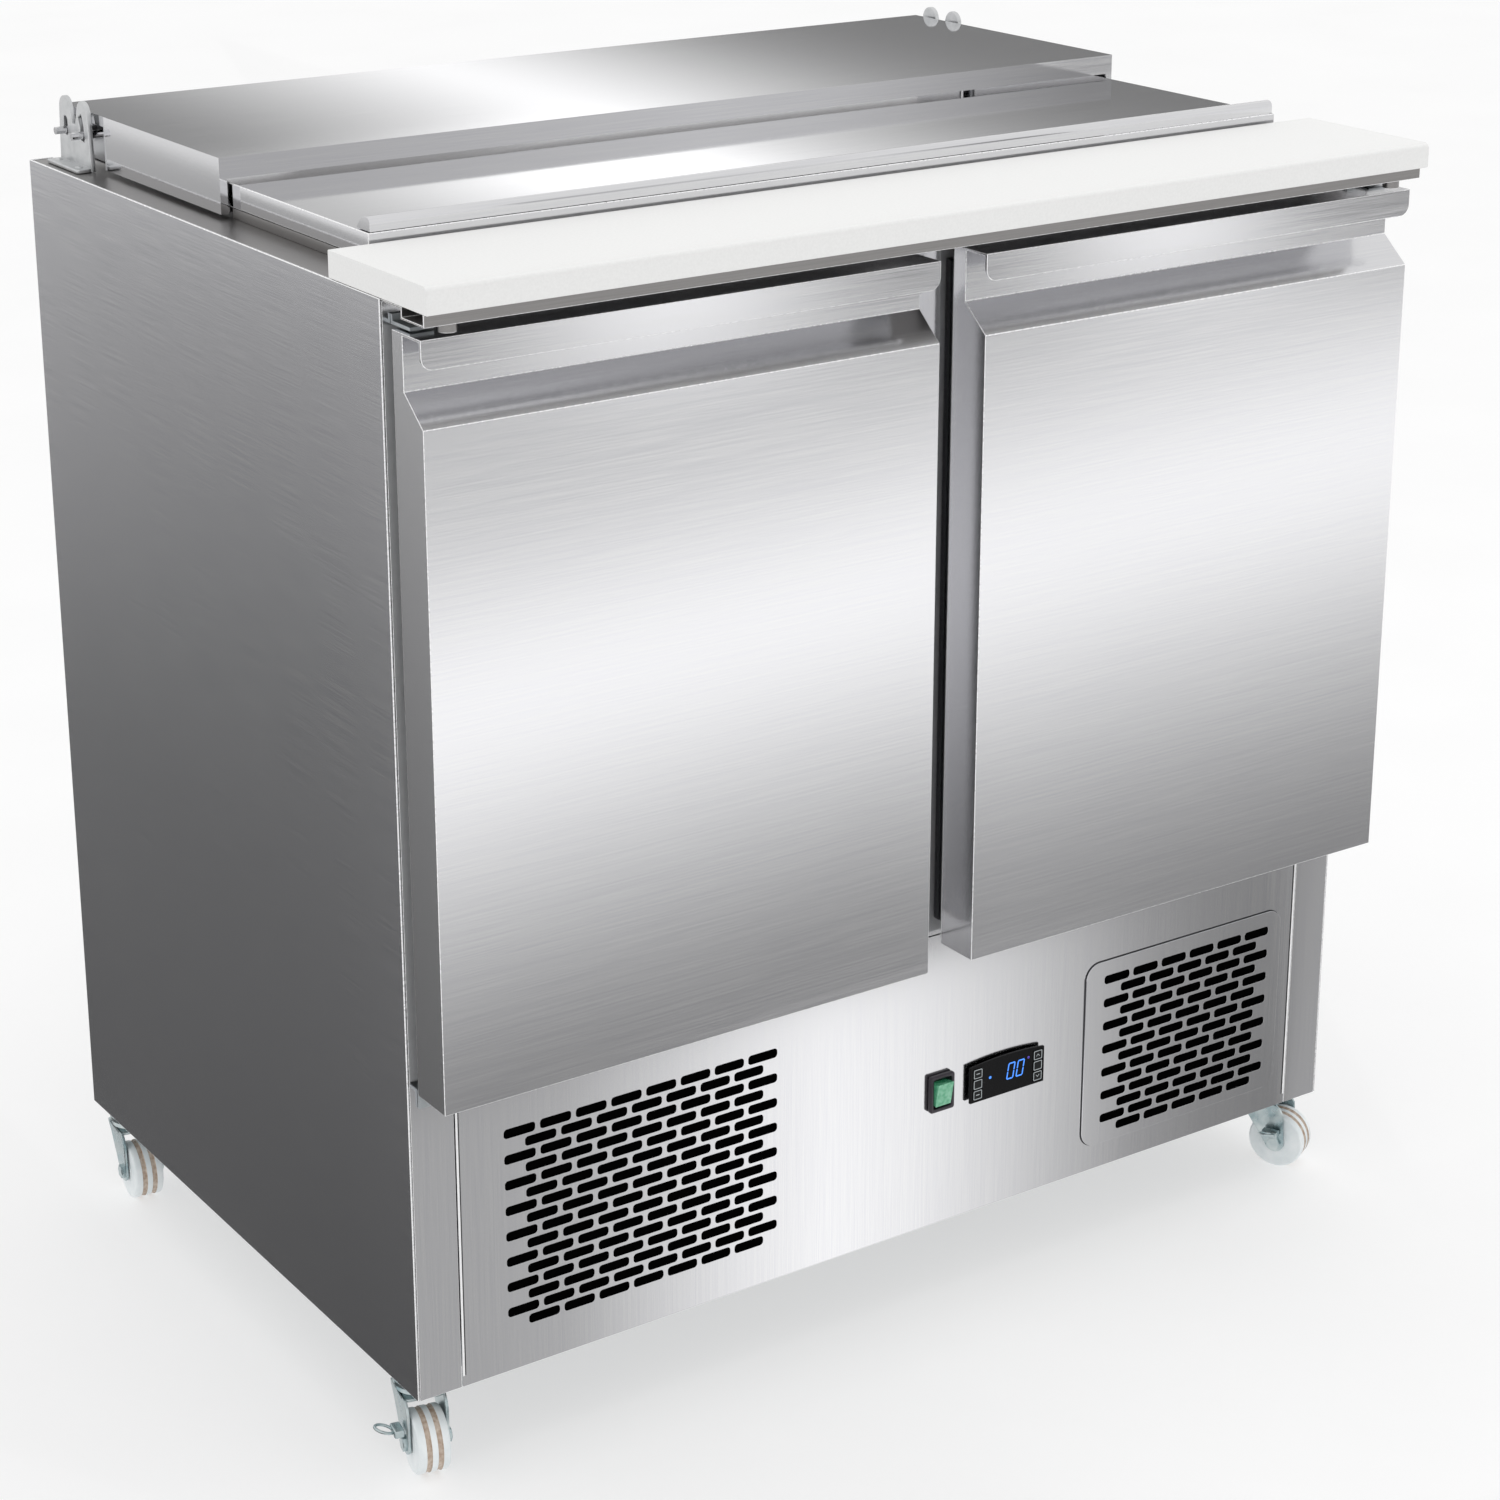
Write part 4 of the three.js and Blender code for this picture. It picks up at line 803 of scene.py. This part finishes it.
def wheel_mesh():
    r, half = WHEEL_RADIUS, WHEEL_HALF
    groove = 0.7 * MM
    profile = [
        (-half, 8 * MM), (-half, r - 1.6 * MM), (-half + 0.8 * MM, r - 0.5 * MM), (-half + 2.0 * MM, r),
        (-half + 6.0 * MM, r), (-half + 6.6 * MM, r - groove),
        (-half + 9.6 * MM, r - groove), (-half + 10.2 * MM, r),
        (half - 10.2 * MM, r), (half - 9.6 * MM, r - groove),
        (half - 6.6 * MM, r - groove), (half - 6.0 * MM, r),
        (half - 2.0 * MM, r), (half - 0.8 * MM, r - 0.5 * MM), (half, r - 1.6 * MM), (half, 8 * MM),
    ]
    tread = lathe(profile, "x", 72)
    dressed(tread, nylon_white)
    tread.materials.append(nylon_worn)
    for face in tread.polygons:
        centre = face.center
        away = math.hypot(centre.y, centre.z)
        if groove < abs(centre.x) < half - 5.8 * MM and away > r - 2 * MM:
            face.material_index = 1
    parts = [tread]
    for side in (-1, 1):
        cap = lathe([
            (half - 0.1 * MM, AXIS), (half - 0.1 * MM, 16 * MM), (half + 0.1 * MM, 15.4 * MM),
            (half - 0.5 * MM, 10.5 * MM), (half + 0.3 * MM, 9.4 * MM), (half + 0.3 * MM, AXIS),
        ], "x", 48)
        if side < 0:
            cap.transform(Matrix.Rotation(math.pi, 4, "Z"))
        parts.append(dressed(cap, nylon_white))
    mesh = join_meshes("wheel", parts)
    mesh.transform(Matrix.Translation((0, -TRAIL, WHEEL_RADIUS)))
    return mesh


def fork_mesh():
    half, thick = WHEEL_HALF + 4 * MM, 2.5 * MM
    boss = arc((-TRAIL, WHEEL_RADIUS), 9 * MM, 195, 345, 10)
    cheek_outline = [
        (-TRAIL - 7 * MM, CROWN_Z - 9 * MM), *boss, (2 * MM, CROWN_Z - 22 * MM),
        (10 * MM, CROWN_Z - 10 * MM), (17 * MM, CROWN_Z - 3 * MM), (17 * MM, CROWN_Z),
        (-TRAIL, CROWN_Z), (-TRAIL - 4 * MM, CROWN_Z - 3 * MM),
    ]
    parts = []
    for x0 in (-half, half - thick):
        parts.append(plate(cheek_outline, [], x0, x0 + thick, "x", 0.6 * MM))
    crown = rounded(-half, half, -TRAIL, 17 * MM, 5 * MM, 5)
    parts.append(plate(crown, [], CROWN_Z - thick, CROWN_Z, "z", 0.6 * MM))
    race = lathe([
        (CROWN_Z - 1 * MM, AXIS), (CROWN_Z - 1 * MM, 15 * MM), (CROWN_Z + 1.5 * MM, 17.5 * MM),
        (CROWN_Z + 4 * MM, 16 * MM), (CROWN_Z + 6 * MM, 18.8 * MM), (CROWN_Z + 9 * MM, 18.8 * MM),
        (CROWN_Z + 11 * MM, 16 * MM), (CROWN_Z + 13.4 * MM, 14 * MM), (CROWN_Z + 13.4 * MM, AXIS),
    ], "z", 48)
    parts.append(race)
    for side in (-1, 1):
        nut = lathe([
            (0, AXIS), (0, 6.2 * MM), (2.4 * MM, 6.2 * MM), (2.9 * MM, 5.4 * MM), (2.9 * MM, AXIS),
        ], "x", 6)
        if side < 0:
            nut.transform(Matrix.Rotation(math.pi, 4, "Z"))
        nut.transform(Matrix.Translation((side * half, -TRAIL, WHEEL_RADIUS)))
        parts.append(nut)
    return join_meshes("fork", parts)


def pedal_mesh():
    """A folded tab on the fork's side with a loop of wire to press."""
    x0 = -WHEEL_HALF - 5.2 * MM
    y = -TRAIL + 2 * MM
    z = WHEEL_RADIUS + 11 * MM
    tab_outline = rounded(x0 - 8 * MM, x0, z - 3 * MM, z + 3 * MM, 1.5 * MM, 4)
    tab = plate(tab_outline, [], y - 7 * MM, y + 7 * MM, "y", 0.5 * MM)
    loop = []
    for i in range(28):
        a = 2 * math.pi * i / 28
        out = 7 * MM + 7.2 * MM * (1 - math.cos(a)) * 0.98
        loop.append((x0 - out, y + 6.2 * MM * math.sin(a), z + 0.4 * (out - 7 * MM) + 0.5 * MM))
    wire = tube(loop, 1.2 * MM, True)
    return join_meshes("pedal", [tab, wire])


def make_castors():
    for name in ("front_left", "front_right", "rear_left", "rear_right"):
        place = castor_place(name)
        wheel, fork = wheel_mesh(), fork_mesh()
        wheel.transform(place)
        fork.transform(place)
        piece(f"wheel_{name}", wheel, f"wheel_{name}_body", [f"castor_wheel_{name}"])
        piece(f"fork_{name}", fork, f"fork_{name}_body", [f"castor_fork_{name}"], material=zinc)
    for name in ("front_left", "front_right"):
        pedal = pedal_mesh()
        pedal.transform(castor_place(name))
        piece(f"pedal_{name}", pedal, f"pedal_{name}_body", [f"brake_pedal_{name}"], material=zinc)


# ---------- small fittings ----------
def screw_head(radius):
    head = lathe([
        (0, AXIS), (0, radius), (0.4 * MM, radius), (1.0 * MM, radius * 0.75), (1.3 * MM, radius * 0.3),
        (1.3 * MM, AXIS),
    ], "y", 24)
    head.transform(Matrix.Rotation(math.pi, 4, "Z"))
    return head


def make_back_screws():
    low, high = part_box("back_panel")
    parts = []
    rows = 4
    for x in (low.x + 30 * MM, 0, high.x - 30 * MM):
        for i in range(rows):
            z = low.z + 18 * MM + (high.z - low.z - 36 * MM) * i / (rows - 1)
            head = screw_head(3.2 * MM)
            head.transform(Matrix.Rotation(math.pi, 4, "Z"))
            head.transform(Matrix.Translation((x, high.y - 0.1 * MM, z)))
            parts.append(head)
    piece("back_screws", join_meshes("screws", parts), "cabinet", material=zinc)


def make_panel_trim():
    """The fold between each post and the lower panel: a rounded near-white bead, a painted highlight along
    the edge, with a dark joint inside it.
    """
    low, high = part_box("lower_panel")
    foot, bead, joint = 9 * MM, 1.7 * MM, 1.2 * MM
    for name, side, edge in (("left", 1, low.x), ("right", -1, high.x)):
        for kind, start, width, proud, material in (
            ("fold", 0, bead, 0.5 * MM, edge_painted_highlight), ("joint", bead, joint, 0.1 * MM, black_satin),
        ):
            x0, x1 = sorted((edge + side * start, edge + side * (start + width)))
            outline = rounded(x0, x1, low.z + foot, high.z, 0.5 * MM, 3)
            piece(f"panel_{kind}_{name}", plate(outline, [], low.y - proud, low.y + 0.4 * MM, "y", HAIRLINE),
                  "cabinet", material=material)


# ---------- studio ----------
def card_light():
    """Emission that follows the level stored at each corner of a card."""
    material = bpy.data.materials.new("card_light")
    material.use_nodes = True
    tree = material.node_tree
    tree.nodes.clear()
    level = tree.nodes.new("ShaderNodeAttribute")
    level.attribute_name = "level"
    emit = tree.nodes.new("ShaderNodeEmission")
    out = tree.nodes.new("ShaderNodeOutputMaterial")
    tree.links.new(level.outputs["Fac"], emit.inputs["Strength"])
    tree.links.new(emit.outputs["Emission"], out.inputs["Surface"])
    return material


def mirrored(point, normal, axis, place):
    """Where the camera's ray to a point on a flat face lands, after that face mirrors it."""
    point, normal = Vector(point), Vector(normal)
    ray = (point - EYE).normalized()
    ray -= 2 * ray.dot(normal) * normal
    return point + ray * ((place - point[axis]) / ray[axis])


def card(name, rows, material):
    """A card seen only in glossy reflections; rows hold (place, level) pairs."""
    width = len(rows[0])
    mesh = bpy.data.meshes.new(name)
    faces = [
        (r * width + c, r * width + c + 1, (r + 1) * width + c + 1, (r + 1) * width + c)
        for r in range(len(rows) - 1) for c in range(width - 1)
    ]
    mesh.from_pydata([place for row in rows for place, _ in row], [], faces)
    levels = mesh.attributes.new("level", "FLOAT", "POINT")
    levels.data.foreach_set("value", [level for row in rows for _, level in row])
    mesh.materials.append(material)
    obj = bpy.data.objects.new(name, mesh)
    bpy.context.scene.collection.objects.link(obj)
    obj.visible_camera = False
    obj.visible_diffuse = False
    obj.visible_shadow = False
    obj.visible_transmission = False


def door_cards(material):
    """A band of light across the doors, brightest at two thirds of their height."""
    y = -312.5 * MM
    # height on the door, level on the left door, level on the right door
    stops = [
        (0.26, 0.20, 0.26), (0.34, 0.27, 0.35), (0.42, 0.44, 0.52), (0.50, 0.73, 0.79),
        (0.57, 1.05, 1.09), (0.62, 1.32, 1.30), (0.66, 1.44, 1.38), (0.70, 1.27, 1.30),
        (0.76, 0.92, 0.97), (0.80, 0.74, 0.79), (0.85, 0.62, 0.68),
    ]
    rows = []
    for z, left, right in stops:
        across = ((-0.7, left), (-0.05, left), (0.05, right), (0.7, right))
        rows.append([(mirrored((x, y, z + 0.06 * x), (0, 1, 0), 2, 0.004), level) for x, level in across])
    card("card_doors", rows, material)
    lip = [(-0.6, 0.15), (-0.43, 0.15), (-0.36, 0.7), (-0.28, 1.6), (-0.2, 1.4), (-0.1, 0.25), (-0.03, 0.05),
           (0.03, 0.1), (0.09, 0.7), (0.15, 1.7), (0.25, 1.5), (0.33, 0.15), (0.40, 0.05), (0.6, 0.05)]
    card("card_lips", [[(mirrored((x, y, z), (0, 1, 0), 2, 0.006), level) for x, level in lip]
                       for z in (0.857, 0.94)], material)


def panel_card(material):
    """Upright bands on the lower panel, brightest left of its middle."""
    stops = [
        (-0.6, 0.5), (-0.40, 0.50), (-0.32, 0.56), (-0.24, 0.84), (-0.16, 1.12), (-0.08, 1.30), (0.0, 1.20),
        (0.08, 0.95), (0.16, 0.68), (0.24, 0.42), (0.32, 0.31), (0.408, 0.26), (0.416, 0.45), (0.6, 0.45),
    ]
    card("card_panel", [[(mirrored((x, -262.5 * MM, z), (0, 1, 0), 2, 0.008), level) for x, level in stops]
                        for z in (0.05, 0.32)], material)


def side_cards(material):
    """A dark foot and a mid grey top for the side panels."""
    # height on the panel, level at its front, level at its rear
    stops = [
        (0.04, 0.11, 0.13), (0.3, 0.14, 0.16), (0.45, 0.16, 0.18), (0.55, 0.18, 0.23),
        (0.65, 0.22, 0.30), (0.75, 0.29, 0.37), (0.86, 0.38, 0.45), (0.95, 0.46, 0.52),
    ]
    rows = []
    for z, front, rear in stops:
        rows.append([
            (mirrored((-0.45, -0.45, z), (1, 0, 0), 2, 0.005), front),
            (mirrored((-0.45, -0.15, z), (1, 0, 0), 2, 0.005), front),
            (mirrored((-0.45, 0.25, z), (1, 0, 0), 2, 0.005), rear),
            (mirrored((-0.45, 0.6, z), (1, 0, 0), 2, 0.005), rear),
        ])
    card("card_left", rows, material)
    flip = [[(Vector((-place.x, place.y, place.z)), level) for place, level in row] for row in rows]
    card("card_right", flip, material)


def top_cards(material):
    """Bands from front to back on the hood and on the lid, each brightest left of its middle."""
    hood = [
        (-0.6, 0.22), (-0.39, 0.32), (-0.29, 0.60), (-0.20, 0.90), (-0.10, 1.30), (0.0, 0.94),
        (0.10, 0.60), (0.19, 0.36), (0.29, 0.25), (0.39, 0.22), (0.6, 0.20),
    ]
    lid = [
        (-0.6, 0.42), (-0.39, 0.65), (-0.29, 1.06), (-0.20, 1.48), (-0.10, 1.48), (0.0, 0.88),
        (0.10, 0.58), (0.19, 0.37), (0.29, 0.26), (0.39, 0.22), (0.6, 0.20),
    ]
    wall = 3
    card("card_hood", [[(mirrored((x, y, 0.955), (0, 0, 1), 1, wall), level) for x, level in hood]
                       for y in (0.6, 0.02)], material)
    card("card_lid", [[(mirrored((x, y, 0.936), (0, 0, 1), 1, wall + 0.01), level) for x, level in lid]
                      for y in (0.045, -0.4)], material)
    strip = [(-0.6, 0.6), (-0.39, 0.64), (-0.13, 0.79), (0.0, 0.87), (0.13, 0.80), (0.26, 0.58), (0.39, 0.38),
             (0.6, 0.38)]
    # the hood's front strip is seen by way of the lid, which throws its view up and out in front
    strip_y, screen_y = 0.0295, -5
    reach = (strip_y - screen_y) / (strip_y - EYE.y)
    card("card_strip", [[((x + (x - EYE.x) * reach, screen_y, z), level) for x, level in strip]
                        for z in (1.1, 3.2)], material)
    # past the end of the lid the strip looks straight down at the floor
    card("card_strip_end", [[(mirrored((x, strip_y, z), (0, 1, 0), 2, 0.007), 0.27) for x in (0.34, 0.46)]
                            for z in (0.937, 0.958)], material)


def make_studio():
    mesh = bpy.data.meshes.new("floor")
    reach = 14
    mesh.from_pydata([(-reach, -reach, 0), (reach, -reach, 0), (reach, reach, 0), (-reach, reach, 0)], [],
                     [(0, 1, 2, 3)])
    paper = surface("floor_paper", "b4b4b4", "b8b8b8", 0, (0.85, 0.95), (3, 3, 3))
    shader = paper.node_tree.nodes["Principled BSDF"]
    shader.inputs["Emission Color"].default_value = (1, 1, 1, 1)
    shader.inputs["Emission Strength"].default_value = 0.5
    mesh.materials.append(paper)
    floor = bpy.data.objects.new("floor", mesh)
    bpy.context.scene.collection.objects.link(floor)

    world = bpy.data.worlds.new("studio")
    world.use_nodes = True
    world.node_tree.nodes["Background"].inputs["Color"].default_value = (1, 1, 1, 1)
    world.node_tree.nodes["Background"].inputs["Strength"].default_value = 0.93
    bpy.context.scene.world = world
    bpy.context.scene.view_settings.view_transform = "Standard"

    material = card_light()
    door_cards(material)
    panel_card(material)
    side_cards(material)
    top_cards(material)

    key = bpy.data.lights.new("key", "AREA")
    key.shape = "RECTANGLE"
    key.size, key.size_y, key.energy = 2.4, 1.6, 15
    holder = bpy.data.objects.new("key", key)
    holder.location = (0.5, -0.5, 3.4)
    holder.rotation_euler = (math.radians(8), math.radians(8), 0)
    holder.visible_camera = False
    holder.visible_glossy = False
    bpy.context.scene.collection.objects.link(holder)


make_camera()
make_studio()
dress_steelwork()
make_lower_panel()
make_grille()
make_slot_painted_shadow()
make_controller()
make_keys()
make_switch()
make_lid_grip()
make_lid_runners()
make_brackets()
make_pans()
make_shelves()
make_fans()
make_fan_guard()
make_compressor()
make_castors()
make_back_screws()
make_panel_trim()
